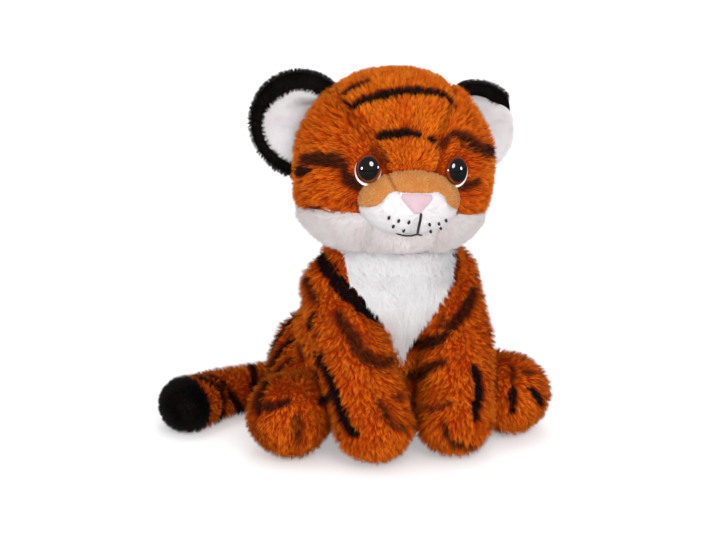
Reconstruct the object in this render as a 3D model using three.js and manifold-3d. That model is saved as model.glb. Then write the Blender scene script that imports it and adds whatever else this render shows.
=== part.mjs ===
// A sitting plush tiger, in millimetres: +Z up, facing -Y, with its seat on the floor at the origin.
// Every panel of pile fabric is a shell of its own round the filling, and each limb is sewn on at a
// seam that bends.
import * as THREE from "three";
import { mergeVertices } from "three/addons/utils/BufferGeometryUtils.js";
import Module from "manifold-3d";

const wasm = await Module();
wasm.setup();

// Fabric, seams and clearances
const plushThickness = 4.5;
const shortPileThickness = 2.5;
const seamGap = 0.3;
const floorCut = 0.5;

// Torso: a pear that leans forward, flat on the floor, with a dish at the top that the head sits in
const torsoHeight = 131;
const torsoHalfWidth = 64;
const torsoHalfDepth = 45;
const torsoTopRound = 34;
const neckForward = 7;
const neckOpeningRadius = 20;
const pouchHeight = 34;
const bibHalfWidth = 37;
const bibTip = 57;
const torsoShares = [
  { up: 0.08, back: 0.4, wide: 0.91, deep: 0.88 },
  { up: 0.23, back: 0.41, wide: 1, deep: 0.97 },
  { up: 0.42, back: 0.33, wide: 0.97, deep: 0.98 },
  { up: 0.61, back: 0.13, wide: 0.9, deep: 0.98 },
  { up: 0.79, back: -0.09, wide: 0.81, deep: 0.91 },
  { up: 0.92, back: -0.14, wide: 0.72, deep: 0.76 },
];

// Head: an egg with full jowls, tilted and turned a little to one side, sewn on round the neck opening
const headHalfWidth = 65;
const headHalfDepth = 56;
const headCrown = 61.5;
const headJowl = 58;
const headSeat = 3.5;
const headForward = 12;
const headTiltDegrees = 4.7;
const headYawDegrees = -5;
const crownSquareness = 2;
const jowlSquareness = 3.2;
const throatSquareness = 2.4;
const gussetHalfWidth = 40;
const gussetTop = 46;
const browHalfWidth = 22;
const browHeight = 28;
const gussetFootHalfWidth = 16;
const gussetFoot = 6;
const gussetBack = 8;
const cheekDrop = 31.5;
const cheekRake = 0.22;
const cheekBack = 14;
const chinHalfWidth = 21;

// Muzzle, nose bridge and nose, placed from the middle of the head
const muzzleHalfWidth = 33;
const muzzleHalfHeight = 23.5;
const muzzleHalfDepth = 25;
const muzzleForward = 43;
const muzzleDrop = 12.5;
const bridgeHalfWidth = 14;
const bridgeFlareHalfWidth = 20;
const bridgeFlareDrop = 8;
const bridgeWingDrop = 20;
const noseHalfWidth = 10.5;
const noseDrop = 3;
const noseHeight = 12;
const nosePad = 1.6;

// Eyes
const eyeHalfWidth = 8;
const eyeHalfHeight = 9.2;
const eyeDome = 5.5;
const eyeSpreadShare = 0.446;
const eyeRise = 8;
const eyeSink = 2;
const shankRadius = 2;
const shankLength = 8;
const feltThickness = 1;
const feltOverhang = 2.5;
const feltShift = 2;
const washerRadius = 7;
const washerThickness = 1.5;
const washerBow = 1.5;

// Ears
const earRadius = 32.5;
const earWall = 6;
const earDish = 9;
const earRim = 9;
const earSpread = 56.5;
const earRise = 16;
const earBack = 26;
const earTurnDegrees = 18;
const earStretchShare = 1.05;
const earLining = 2.5;

// Front legs
const shoulderSpread = 35;
const shoulderDrop = 28;
const shoulderForward = 3;
const upperLegHalf = 24;
const elbowSpread = 34;
const elbowForward = 35;
const elbowHeight = 66;
const elbowHalf = 25;
const pawHalf = 26.5;
const pawForward = 54;

// Hind legs
const hipSpread = 44;
const hipBack = 20;
const thighHalfWidth = 31;
const thighHalfHeight = 42;
const kneeSpread = 59;
const kneeForward = 2;
const kneeHalfWidth = 25;
const kneeHalfHeight = 27;
const footSpread = 74;
const footForward = 24;
const footHalf = 27.5;

// Tail
const tailHalf = 15;
const tailTipHalf = 17.5;
const tailTipLength = 20;
const tailReach = 121.5;
const tailTipBack = 44;
const tailRootBack = 52;
const tailBulge = 24;

// How far the seams let the limbs move, in degrees, and the steps that their clearance is cut in
const neckTurn = 25;
const earFold = 25;
const frontLift = 35;
const hindSplay = 15;
const tailSwing = 45;
const sweepSteps = 7;

// Facets round and along the forms
const columnsWide = 24;
const columnsSlim = 16;
const columnsCore = 12;
const columnsSmall = 20;
const headRows = 14;
const capRows = 3;
const rowsPerStation = 2;
const cutterSpan = 400;
const mergeReach = 0.001;
const probe = 1;

const orange = { color: "#c85a1c", roughness: 0.95, metalness: 0 };
const white = { color: "#f2eef0", roughness: 0.95, metalness: 0 };
const black = { color: "#1a1412", roughness: 0.95, metalness: 0 };
const tan = { color: "#d9924e", roughness: 0.9, metalness: 0 };
const pink = { color: "#f2c9cf", roughness: 0.8, metalness: 0 };
const eyePlastic = { color: "#1c0f0a", roughness: 0.12, metalness: 0 };
const felt = { color: "#f5f2ee", roughness: 0.9, metalness: 0 };
const washerPlastic = { color: "#e8e8e4", roughness: 0.5, metalness: 0 };
const filling = { color: "#f4f4f2", roughness: 1, metalness: 0 };
const pouchCloth = { color: "#d8d2c8", roughness: 0.9, metalness: 0 };

const up = new THREE.Vector3(0, 0, 1);
const back = new THREE.Vector3(0, 1, 0);
const aside = new THREE.Vector3(1, 0, 0);
const wholly = new THREE.Vector3(1, 1, 1);
const levelly = new THREE.Vector3(1, 1, 0);
const radians = THREE.MathUtils.degToRad;
const place = (x, y, z) => new THREE.Vector3(x, y, z);
const sides = [
  [1, "left"],
  [-1, "right"],
];

// Solids for cutting and joining
function solidOf(geometry) {
  const bare = geometry.clone();
  bare.deleteAttribute("normal");
  bare.deleteAttribute("uv");
  const merged = mergeVertices(bare, mergeReach);
  const vertProperties = merged.attributes.position.array;
  const triVerts = new Uint32Array(merged.index.array);
  return new wasm.Manifold(new wasm.Mesh({ numProp: 3, vertProperties, triVerts }));
}

function geometryOf(solid) {
  const mesh = solid.getMesh();
  const places = new THREE.BufferAttribute(new Float32Array(mesh.vertProperties), 3);
  const faces = new THREE.BufferAttribute(new Uint32Array(mesh.triVerts), 1);
  return new THREE.BufferGeometry().setAttribute("position", places).setIndex(faces);
}

function moved(solid, matrix) {
  return solidOf(geometryOf(solid).applyMatrix4(matrix));
}

function cut(base, ...cutters) {
  return cutters.reduce((left, cutter) => left.subtract(cutter), base);
}

function meet(first, ...others) {
  return others.reduce((left, other) => left.intersect(other), first);
}

function join(first, ...others) {
  return others.reduce((left, other) => left.add(other), first);
}

// Everything on one side of a plane, as a block
function sideOf(point, normal) {
  const block = new THREE.BoxGeometry(cutterSpan, cutterSpan, cutterSpan);
  block.translate(0, 0, cutterSpan / 2);
  const turn = new THREE.Quaternion().setFromUnitVectors(up, normal.clone().normalize());
  return solidOf(block.applyQuaternion(turn).translate(point.x, point.y, point.z));
}

const below = (level) => sideOf(place(0, 0, level), place(0, 0, -1));
const above = (level) => sideOf(place(0, 0, level), up);

// An outline in the front view, given as [x, z] pairs, carried from the middle towards the face
function frontPrism(outline, start = 0) {
  const shape = new THREE.Shape(outline.map(([x, z]) => new THREE.Vector2(x, z)));
  const prism = new THREE.ExtrudeGeometry(shape, { depth: cutterSpan, bevelEnabled: false });
  return solidOf(prism.rotateX(Math.PI / 2).translate(0, start, 0));
}

function mirrored(right) {
  return [...right, ...right.map(([x, z]) => [-x, z]).reverse()];
}

// A closed form through rings of points, with one point at each end
function formOfRings(rings, firstPole, lastPole) {
  const columns = rings[0].length;
  const places = [firstPole, ...rings.flat(), lastPole];
  const ringStart = (row) => 1 + row * columns;
  const top = ringStart(rings.length - 1);
  const faces = [];
  for (let column = 0; column < columns; column += 1) {
    const next = (column + 1) % columns;
    faces.push(0, ringStart(0) + next, ringStart(0) + column);
    for (let row = 0; row < rings.length - 1; row += 1) {
      const [low, high] = [ringStart(row), ringStart(row + 1)];
      faces.push(low + column, low + next, high + next);
      faces.push(low + column, high + next, high + column);
    }
    faces.push(top + column, top + next, places.length - 1);
  }
  const geometry = new THREE.BufferGeometry().setFromPoints(places);
  geometry.setIndex(faces);
  return solidOf(geometry);
}

// One ring: an ellipse on two axes round a centre
function ringAt(centre, across, along, wide, deep, columns) {
  return Array.from({ length: columns }, (_, column) => {
    const angle = (2 * Math.PI * column) / columns;
    return centre
      .clone()
      .addScaledVector(across, wide * Math.cos(angle))
      .addScaledVector(along, deep * Math.sin(angle));
  });
}

// A stuffed form along a smooth spine of stations, each with its place and half sizes, closed by round caps.
// Its rings stand square to the spine's heading, of which lie says how much counts on each axis. grow sets
// the form off from its own surface.
function stuffedForm(stations, { columns, caps, reference, lie = wholly }, grow) {
  const spine = new THREE.CatmullRomCurve3(stations.map((s) => s.at), false, "catmullrom");
  const halves = stations.map((s) => place(s.wide, s.deep, 0));
  const girths = new THREE.CatmullRomCurve3(halves, false, "catmullrom");
  const headingAt = (share) => spine.getTangent(share).multiply(lie).normalize();
  const ringOn = (share, offset, swell) => {
    const heading = headingAt(share);
    const along = reference.clone().addScaledVector(heading, -reference.dot(heading)).normalize();
    const across = along.clone().cross(heading);
    const centre = spine.getPoint(share).addScaledVector(heading, offset);
    const girth = girths.getPoint(share);
    const [wide, deep] = [(girth.x + grow) * swell, (girth.y + grow) * swell];
    return ringAt(centre, across, along, wide, deep, columns);
  };
  const capRing = (share, length, row) => {
    const angle = (Math.PI / 2) * (row / capRows);
    return ringOn(share, (length + Math.sign(length) * grow) * Math.cos(angle), Math.sin(angle));
  };
  const pole = (share, length) =>
    spine.getPoint(share).addScaledVector(headingAt(share), length + Math.sign(length) * grow);
  const steps = (stations.length - 1) * rowsPerStation;
  const rows = Array.from({ length: capRows - 1 }, (_, row) => row + 1);
  const rings = [
    ...rows.map((row) => capRing(0, -caps[0], row)),
    ...Array.from({ length: steps + 1 }, (_, step) => ringOn(step / steps, 0, 1)),
    ...rows.reverse().map((row) => capRing(1, caps[1], row)),
  ];
  return formOfRings(rings, pole(0, -caps[0]), pole(1, caps[1]));
}

// The space that a form passes through as it turns about an axis, joined from a few of its positions
function sweptBy(form, pivot, axis, degrees) {
  const out = new THREE.Matrix4().makeTranslation(pivot);
  const home = out.clone().invert();
  const positions = Array.from({ length: sweepSteps + 1 }, (_, step) => {
    const angle = radians(degrees[0] + ((degrees[1] - degrees[0]) * step) / sweepSteps);
    const turn = new THREE.Matrix4().makeRotationAxis(axis, angle);
    return moved(form, out.clone().multiply(turn).multiply(home));
  });
  return join(...positions);
}

// What stays of a limb that turns on its seam, clear of the still form beside it all the way
function clearedFrom(limb, neighbour, pivot, axis, degrees) {
  return cut(limb, sweptBy(neighbour, pivot, axis, degrees.map((angle) => -angle)));
}

function meshOf(name, finish, solid) {
  const mesh = new THREE.Mesh(geometryOf(solid), new THREE.MeshStandardMaterial(finish));
  mesh.name = name;
  mesh.geometry.computeVertexNormals();
  return mesh;
}

// Torso
function torsoForm(grow, columns = columnsWide) {
  const stations = torsoShares.map((share) => ({
    at: place(0, share.back * torsoHalfDepth, share.up * torsoHeight),
    wide: share.wide * torsoHalfWidth,
    deep: share.deep * torsoHalfDepth,
  }));
  const caps = [stations[0].at.z + floorCut, torsoTopRound];
  return stuffedForm(stations, { columns, caps, reference: back, lie: up }, grow);
}

function neckCylinder(radius, low, high) {
  const cylinder = new THREE.CylinderGeometry(radius, radius, high - low, columnsSmall);
  cylinder.rotateX(Math.PI / 2).translate(0, -neckForward, (low + high) / 2);
  return solidOf(cylinder);
}

function bibOutline(grow) {
  const rise = torsoHeight - bibTip;
  const halfShares = [
    [0.1, 0.12],
    [0.27, 0.3],
    [0.46, 0.46],
    [0.68, 0.6],
    [0.95, 0.76],
    [1, 1.3],
  ];
  const right = halfShares.map(([wide, high]) => [wide * bibHalfWidth + grow, bibTip + high * rise]);
  return [[0, bibTip - 2 * grow], ...mirrored(right)];
}

function makeTorso() {
  const group = new THREE.Group();
  const neck = place(0, -neckForward, torsoHeight);
  const head = sweptBy(moved(headForm(seamGap), headFrame), neck, up, [-neckTurn, neckTurn]);
  const shell = cut(torsoForm(0), torsoForm(-plushThickness, columnsCore), below(0), head);
  const bibRoom = frontPrism(bibOutline(seamGap), seamGap - neckForward);
  group.add(meshOf("torso_shell", orange, cut(shell, bibRoom)));
  group.add(meshOf("chest_bib", white, meet(shell, frontPrism(bibOutline(0), -neckForward))));
  const inner = cut(torsoForm(-plushThickness - seamGap, columnsCore), head);
  group.add(meshOf("torso_stuffing", filling, cut(inner, below(pouchHeight))));
  group.add(meshOf("pellet_pouch", pouchCloth, cut(inner, above(pouchHeight - seamGap))));
  return group;
}

// Front legs
function frontPivot(side) {
  return place(side * shoulderSpread, -shoulderForward, torsoHeight - shoulderDrop);
}

function frontLegForm(side, grow, columns = columnsSlim) {
  const pawSpread = pawHalf + seamGap;
  const stations = [
    { at: frontPivot(side), wide: upperLegHalf, deep: upperLegHalf },
    {
      at: place(side * elbowSpread, -elbowForward, elbowHeight),
      wide: elbowHalf,
      deep: elbowHalf,
    },
    { at: place(side * pawSpread, -pawForward, pawHalf - floorCut), wide: pawHalf, deep: pawHalf },
  ];
  return stuffedForm(stations, { columns, caps: [upperLegHalf, pawHalf], reference: back }, grow);
}

function makeFrontLeg(side, name) {
  const group = new THREE.Group();
  const swing = aside.clone().negate();
  const floor = below(0);
  const neighbour = join(torsoForm(seamGap), hindLegForm(side, seamGap));
  const own = (form) => clearedFrom(cut(form, floor), neighbour, frontPivot(side), swing, [0, frontLift]);
  const outer = own(frontLegForm(side, 0));
  const inner = own(frontLegForm(side, -plushThickness - seamGap, columnsCore));
  const core = frontLegForm(side, -plushThickness, columnsCore);
  group.add(meshOf(`front_leg_${name}`, orange, cut(outer, core)));
  group.add(meshOf(`front_leg_stuffing_${name}`, filling, inner));
  return group;
}

// Hind legs
function hindPivot(side) {
  return place(side * hipSpread, hipBack + thighHalfWidth / 2, thighHalfHeight);
}

function hindLegForm(side, grow, columns = columnsSlim) {
  const stations = [
    {
      at: place(side * hipSpread, hipBack, thighHalfHeight - floorCut),
      wide: thighHalfWidth,
      deep: thighHalfHeight,
    },
    {
      at: place(side * kneeSpread, -kneeForward, kneeHalfHeight - floorCut),
      wide: kneeHalfWidth,
      deep: kneeHalfHeight,
    },
    { at: place(side * footSpread, -footForward, footHalf - floorCut), wide: footHalf, deep: footHalf },
  ];
  const caps = [thighHalfWidth, footHalf];
  return stuffedForm(stations, { columns, caps, reference: up, lie: levelly }, grow);
}

function makeHindLeg(side, name) {
  const group = new THREE.Group();
  const turn = up.clone().multiplyScalar(side);
  const floor = below(0);
  const neighbour = torsoForm(seamGap);
  const own = (form) => clearedFrom(cut(form, floor), neighbour, hindPivot(side), turn, [0, hindSplay]);
  const outer = own(hindLegForm(side, 0));
  const inner = own(hindLegForm(side, -plushThickness - seamGap, columnsCore));
  const core = hindLegForm(side, -plushThickness, columnsCore);
  group.add(meshOf(`hind_leg_${name}`, orange, cut(outer, core)));
  group.add(meshOf(`hind_leg_stuffing_${name}`, filling, inner));
  return group;
}

// Tail
const tailPivot = place(0, tailRootBack, tailHalf);

function tailStations() {
  const reachShares = [0.03, 0.3, 0.57, 0.8, 1];
  const bulgeShares = [0.1, 0.9, 0.95, 0.6, 0];
  const tipShares = [0, 0, 0, 0.3, 1];
  return reachShares.map((share, index) => {
    const half = tailHalf + (tailTipHalf - tailHalf) * tipShares[index];
    const straight = tailRootBack + (tailTipBack - tailRootBack) * share;
    const at = place(-tailReach * share, straight + tailBulge * bulgeShares[index], half - floorCut);
    return { at, wide: half, deep: half };
  });
}

function tailForm(grow, columns = columnsSlim) {
  const caps = [tailHalf, tailTipHalf];
  return stuffedForm(tailStations(), { columns, caps, reference: up, lie: levelly }, grow);
}

function makeTail() {
  const group = new THREE.Group();
  const swing = up.clone().negate();
  const floor = below(0);
  const thigh = hindLegForm(-1, seamGap);
  const thighOut = sweptBy(thigh, hindPivot(-1), swing, [0, hindSplay]);
  const own = (form) => {
    const clear = clearedFrom(cut(form, floor), torsoForm(seamGap), tailPivot, swing, [0, tailSwing]);
    return cut(clear, thighOut);
  };
  const outer = cut(own(tailForm(0)), tailForm(-plushThickness, columnsCore));
  const [beforeTip, tip] = tailStations().slice(-2).map((station) => station.at);
  const heading = tip.clone().sub(beforeTip).setZ(0).normalize();
  const seam = tip.clone().addScaledVector(heading, tailTipHalf - tailTipLength);
  const seamEnd = seam.clone().addScaledVector(heading, seamGap);
  group.add(meshOf("tail", orange, cut(outer, sideOf(seam, heading))));
  group.add(meshOf("tail_tip", black, meet(outer, sideOf(seamEnd, heading))));
  group.add(meshOf("tail_stuffing", filling, own(tailForm(-plushThickness - seamGap, columnsCore))));
  return group;
}

// Head, in a frame of its own with its origin at the middle of the head
const headFrame = new THREE.Matrix4()
  .makeRotationZ(radians(headYawDegrees))
  .multiply(new THREE.Matrix4().makeRotationY(radians(headTiltDegrees)))
  .setPosition(0, -headForward, torsoHeight + headJowl - headSeat);
const intoHead = headFrame.clone().invert();
const headHalves = place(headHalfWidth, headHalfDepth, headCrown);

// Half width and half depth of the head at a height, from its crown and jowl curves
function headHalvesAt(height, grow) {
  const [reach, squareness, throat] =
    height > 0
      ? [headCrown, crownSquareness, crownSquareness]
      : [headJowl, jowlSquareness, throatSquareness];
  const share = Math.min(Math.abs(height) / (reach + grow), 1);
  const wide = (headHalfWidth + grow) * (1 - share ** squareness) ** (1 / squareness);
  const deep = (headHalfDepth + grow) * (1 - share ** throat) ** (1 / throat);
  return { wide, deep };
}

function headForm(grow, columns = columnsWide) {
  const rings = Array.from({ length: headRows - 1 }, (_, row) => {
    const level = -Math.cos((Math.PI * (row + 1)) / headRows);
    const height = level * ((level > 0 ? headCrown : headJowl) + grow);
    const { wide, deep } = headHalvesAt(height, grow);
    return ringAt(place(0, 0, height), aside, back, wide, deep, columns);
  });
  return formOfRings(rings, place(0, 0, -headJowl - grow), place(0, 0, headCrown + grow));
}

// The frame of a piece seated on the face: its Y points out of the surface and its Z up along it
function faceSeat(x, z, sink) {
  const surface = (u, v) => {
    const { wide, deep } = headHalvesAt(v, 0);
    return place(u, -deep * Math.sqrt(1 - (u / wide) ** 2), v);
  };
  const at = surface(x, z);
  const acrossStep = surface(x + probe, z).sub(at);
  const upStep = surface(x, z + probe).sub(at);
  const outward = acrossStep.cross(upStep).normalize();
  const upright = up.clone().addScaledVector(outward, -up.dot(outward)).normalize();
  const across = outward.clone().cross(upright);
  const frame = new THREE.Matrix4().makeBasis(across, outward, upright);
  return frame.setPosition(at.addScaledVector(outward, -sink));
}

function muzzleForm(grow, columns = columnsWide) {
  const ball = new THREE.SphereGeometry(1, columns, Math.round(columns / 2));
  ball.rotateX(Math.PI / 2);
  ball.scale(muzzleHalfWidth + grow, muzzleHalfDepth + grow, muzzleHalfHeight + grow);
  return solidOf(ball.translate(0, -muzzleForward, -muzzleDrop));
}

function gussetOutline(grow) {
  const right = [
    [gussetFootHalfWidth + grow, gussetFoot - grow],
    [browHalfWidth + grow, browHeight],
    [gussetHalfWidth + grow, gussetTop],
    [gussetHalfWidth + grow, headCrown + headHalfDepth],
  ];
  return mirrored(right);
}

function bridgeOutline(drop) {
  const right = [
    [bridgeHalfWidth, -noseDrop - drop],
    [bridgeFlareHalfWidth, -bridgeFlareDrop - drop],
    [muzzleHalfWidth + plushThickness, -bridgeWingDrop - drop],
    [muzzleHalfWidth + plushThickness, headCrown],
  ];
  return mirrored(right);
}

function noseOutline() {
  const cornerShare = 0.18;
  const tipShare = 0.16;
  const right = [
    [noseHalfWidth * tipShare, -noseDrop - noseHeight],
    [noseHalfWidth, -noseDrop - noseHeight * cornerShare],
    [noseHalfWidth * (1 - cornerShare), -noseDrop],
  ];
  return mirrored(right);
}

// The white lower face lies under a plane that climbs towards the muzzle
function jowlRegion(grow) {
  const rake = place(0, cheekRake, 1).normalize();
  const under = sideOf(place(0, 0, -cheekDrop + grow), rake.clone().negate());
  return meet(under, sideOf(place(0, cheekBack + grow, 0), back.clone().negate()));
}

// An eye is a dome with a stem, on a leaf of felt, held by a washer inside the head
const eyeSeat = (side) => faceSeat(side * eyeSpreadShare * headHalfWidth, eyeRise, eyeSink);

function eyeDomeForm(grow) {
  const rows = capRows + 1;
  const arc = Array.from({ length: rows }, (_, row) => {
    const angle = (Math.PI / 2) * (row / rows);
    return new THREE.Vector2(Math.cos(angle), Math.sin(angle));
  });
  const profile = [new THREE.Vector2(0, 0), ...arc, new THREE.Vector2(0, 1)];
  const dome = new THREE.LatheGeometry(profile, columnsSmall);
  dome.scale(eyeHalfWidth + grow, eyeDome + grow, eyeHalfHeight + grow);
  return solidOf(dome);
}

function stemAt(radius, from, to) {
  const stem = new THREE.CylinderGeometry(radius, radius, to - from, columnsCore);
  return solidOf(stem.translate(0, (from + to) / 2, 0));
}

function feltForm(side, grow) {
  const reach = feltThickness + 2 * grow;
  const leaf = new THREE.CylinderGeometry(1, 1, reach, columnsSmall);
  leaf.scale(eyeHalfWidth + feltOverhang + grow, 1, eyeHalfHeight + feltOverhang + grow);
  leaf.translate(-side * feltShift, -seamGap - feltThickness / 2, -feltShift);
  return solidOf(leaf);
}

// The washer lies under the curved backing, so its face is a little deeper than the fabric is thick
const washerLevel = -(plushThickness - eyeSink) - washerBow;

// Room in the head's panels for an eye, its felt and its stem
function eyeSocket(side, room) {
  const mouth = new THREE.CylinderGeometry(1, 1, eyeDome + 2 * room, columnsSmall);
  mouth.scale(eyeHalfWidth + room, 1, eyeHalfHeight + room).translate(0, eyeDome / 2, 0);
  return join(solidOf(mouth), feltForm(side, room), stemAt(shankRadius + room, -shankLength, 0));
}

function makeEye(side, name) {
  const group = new THREE.Group();
  eyeSeat(side).decompose(group.position, group.quaternion, group.scale);
  const hole = stemAt(shankRadius + seamGap, -shankLength - seamGap, seamGap);
  const washer = stemAt(washerRadius, washerLevel - washerThickness, washerLevel);
  const eye = join(eyeDomeForm(0), stemAt(shankRadius, -shankLength, seamGap));
  group.add(meshOf(`eye_${name}`, eyePlastic, eye));
  group.add(meshOf(`eye_felt_${name}`, felt, cut(feltForm(side, 0), hole)));
  group.add(meshOf(`eye_washer_${name}`, washerPlastic, cut(washer, hole)));
  return group;
}

// Ears: a dished disc of long pile with a smooth lining let into its front
function earDishAt(radius) {
  return earDish * ((radius / earRadius) ** 2 - 1);
}

function latheForm(profile, columns) {
  const points = profile.map(([radius, level]) => new THREE.Vector2(radius, level));
  const form = new THREE.LatheGeometry(points, columns);
  return solidOf(form.scale(1, 1, earStretchShare));
}

function earBackForm() {
  const recess = earRadius - earRim;
  const shares = [0, 0.4, 0.7, 0.9];
  const behind = shares.map((share) => [share * earRadius, earDishAt(share * earRadius) - earWall]);
  const rim = [
    [earRadius, -earWall / 2],
    [earRadius - earWall / 3, 0],
    [recess, earDishAt(recess)],
  ];
  const floor = [1, 0.5, 0].map((share) => [share * recess, earDishAt(share * recess) - earLining]);
  return latheForm([...behind, ...rim, ...floor], columnsSmall);
}

function earLiningForm() {
  const reach = earRadius - earRim - seamGap;
  const shares = [0, 0.5, 1];
  const under = shares.map((share) => [share * reach, earDishAt(share * reach) - earLining + seamGap]);
  const face = [...shares].reverse().map((share) => [share * reach, earDishAt(share * reach)]);
  return latheForm([...under, ...face], columnsSmall);
}

function makeEar(side, name) {
  const group = new THREE.Group();
  const turn = radians(earTurnDegrees);
  const facing = place(side * Math.sin(turn), -Math.cos(turn), 0);
  const middle = place(side * earSpread, earBack, earRise);
  const stance = new THREE.Matrix4().makeBasis(facing.clone().cross(up), facing, up).setPosition(middle);
  const root = middle.clone().divideScalar(middle.clone().divide(headHalves).length());
  const hinge = facing.clone().cross(middle).normalize();
  const turns = [-earFold, earFold];
  const own = (form) => clearedFrom(moved(form, stance), headForm(seamGap), root, hinge, turns);
  group.add(meshOf(`ear_back_${name}`, black, own(earBackForm())));
  group.add(meshOf(`ear_lining_${name}`, white, own(earLiningForm())));
  return group;
}

// The head's panels round its filling
function makeHead() {
  const group = new THREE.Group();
  headFrame.decompose(group.position, group.quaternion, group.scale);
  const neck = neckCylinder(neckOpeningRadius, torsoHeight / 2, torsoHeight + headJowl / 2);
  const opening = moved(neck, intoHead);
  const bothEyes = (formAt) => join(...sides.map(([side]) => moved(formAt(side), eyeSeat(side))));
  const socketsWith = (room) => bothEyes((side) => eyeSocket(side, room));
  const sockets = socketsWith(seamGap);
  const snoutCore = muzzleForm(-shortPileThickness, columnsCore);
  const shell = cut(headForm(0), headForm(-plushThickness), snoutCore, opening, sockets);
  const gusset = frontPrism(gussetOutline(0), gussetBack);
  const gussetRoom = frontPrism(gussetOutline(seamGap), gussetBack + seamGap);
  group.add(meshOf("forehead_gusset", orange, meet(shell, gusset)));
  group.add(meshOf("head_shell", orange, cut(shell, gussetRoom, jowlRegion(seamGap))));
  const lower = meet(shell, jowlRegion(0));
  const chinSlab = (half) =>
    meet(
      sideOf(place(half, 0, 0), place(-1, 0, 0)),
      sideOf(place(-half, 0, 0), aside),
      sideOf(place(0, half - chinHalfWidth, 0), place(0, -1, 0)),
    );
  group.add(meshOf("chin", white, meet(lower, chinSlab(chinHalfWidth))));
  for (const [side, name] of sides) {
    const half = sideOf(place((side * seamGap) / 2, 0, 0), place(side, 0, 0));
    group.add(meshOf(`cheek_${name}`, white, meet(cut(lower, chinSlab(chinHalfWidth + seamGap)), half)));
    group.add(makeEye(side, name), makeEar(side, name));
  }
  const snout = cut(muzzleForm(0), snoutCore, headForm(seamGap), sockets);
  group.add(meshOf("muzzle", white, cut(snout, frontPrism(bridgeOutline(seamGap)))));
  group.add(meshOf("nose_bridge", tan, meet(snout, frontPrism(bridgeOutline(0)))));
  const pad = cut(muzzleForm(nosePad), muzzleForm(seamGap));
  group.add(meshOf("nose", pink, meet(pad, frontPrism(noseOutline(), -muzzleForward))));
  const washerRoom = join(
    stemAt(washerRadius + seamGap, washerLevel - washerThickness - seamGap, 0),
    stemAt(shankRadius + seamGap, -shankLength - seamGap, 0),
  );
  const rooms = bothEyes(() => washerRoom);
  const inner = headForm(-plushThickness - seamGap, columnsCore);
  const snoutFill = muzzleForm(-shortPileThickness - seamGap, columnsCore);
  group.add(meshOf("head_stuffing", filling, cut(join(inner, snoutFill), rooms, socketsWith(2 * seamGap))));
  return group;
}

const tiger = new THREE.Group();
tiger.add(makeTorso(), makeTail(), makeHead());
for (const [side, name] of sides) tiger.add(makeFrontLeg(side, name), makeHindLeg(side, name));
tiger.position.setY(-torsoShares[0].back * torsoHalfDepth);
export default tiger;
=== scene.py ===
"""A sitting plush tiger: stuffed skins in long pile, a shorn muzzle, glossy eyes and dished ears.

Lengths in this file are millimetres until a mesh is made; the frame is the CAD model's, +Z up and facing -Y.
"""

import logging
from collections.abc import Callable
from dataclasses import dataclass, field, replace
from enum import Enum
from functools import reduce

import bpy
import numpy as np
from mathutils import Matrix, Vector
from mathutils.bvhtree import BVHTree

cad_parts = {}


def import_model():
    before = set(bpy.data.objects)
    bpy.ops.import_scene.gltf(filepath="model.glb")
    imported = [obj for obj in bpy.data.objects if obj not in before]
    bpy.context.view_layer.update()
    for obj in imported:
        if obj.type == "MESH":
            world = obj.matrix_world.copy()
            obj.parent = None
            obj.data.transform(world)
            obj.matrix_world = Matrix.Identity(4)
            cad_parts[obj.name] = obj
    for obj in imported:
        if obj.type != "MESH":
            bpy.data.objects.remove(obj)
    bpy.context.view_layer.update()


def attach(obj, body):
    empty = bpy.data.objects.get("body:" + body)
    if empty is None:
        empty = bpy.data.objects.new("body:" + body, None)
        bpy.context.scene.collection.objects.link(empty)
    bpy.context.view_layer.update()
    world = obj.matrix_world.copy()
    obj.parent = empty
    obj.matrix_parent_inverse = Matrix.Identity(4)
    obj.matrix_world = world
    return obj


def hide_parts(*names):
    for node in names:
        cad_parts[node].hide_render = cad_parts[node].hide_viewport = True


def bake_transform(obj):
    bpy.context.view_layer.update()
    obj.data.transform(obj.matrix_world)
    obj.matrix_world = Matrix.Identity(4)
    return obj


log = logging.getLogger("tiger")

Array = np.ndarray
Triple = tuple[float, float, float]
Line = tuple[tuple[float, float], ...]
# A function of places and their normals
Field = Callable[[Array, Array], Array]

METRES = 0.001
SIDES = ((1, "left"), (-1, "right"))

# The solids' own measures
SEAT_SHIFT = -18.0
NECK_HEIGHT = 131.0
FLOOR_CLEARANCE = 0.25

# How deep the fabric lies under the pile's surface and how thick it is, how far apart pressed skins stay, and
# how far out a skin that is sewn onto the head begins
PILE_DEPTH = 3.5
FABRIC = 1.5
PRESSED = 0.4
SEWN = 0.5

# Stands for the distance to something that isn't there
FAR = 99.0


# ---------------------------------------------------------------------------------------------------------
# Small tools on whole arrays


def unit(vectors: Array) -> Array:
    """Vectors scaled to length one."""
    return vectors / np.maximum(np.linalg.norm(vectors, axis=-1, keepdims=True), 1e-9)


def smooth(low: float, high: float, value: Array) -> Array:
    """A smooth step from 0 at low to 1 at high."""
    share = np.clip((value - low) / (high - low), 0, 1)
    return share * share * (3 - 2 * share)


def bell(distance: Array, width: float) -> Array:
    """A soft bump: 1 at no distance, falling off over a width."""
    return np.exp(-((distance / width) ** 2))


def turns(count: int) -> Array:
    """Even angles of a full turn, in radians."""
    return np.arange(count) * 2 * np.pi / count


def by_rows(move: Callable[[Array], Array], grid: Array) -> Array:
    """A grid whose places were moved by a function of rows of places."""
    return move(grid.reshape(-1, 3)).reshape(grid.shape)


def cell_middles(grid: Array) -> Array:
    """The middle of each cell of a grid whose columns close on themselves."""
    beside = np.roll(grid, -1, axis=1)
    return (grid[:-1] + grid[1:] + beside[:-1] + beside[1:]) / 4


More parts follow.
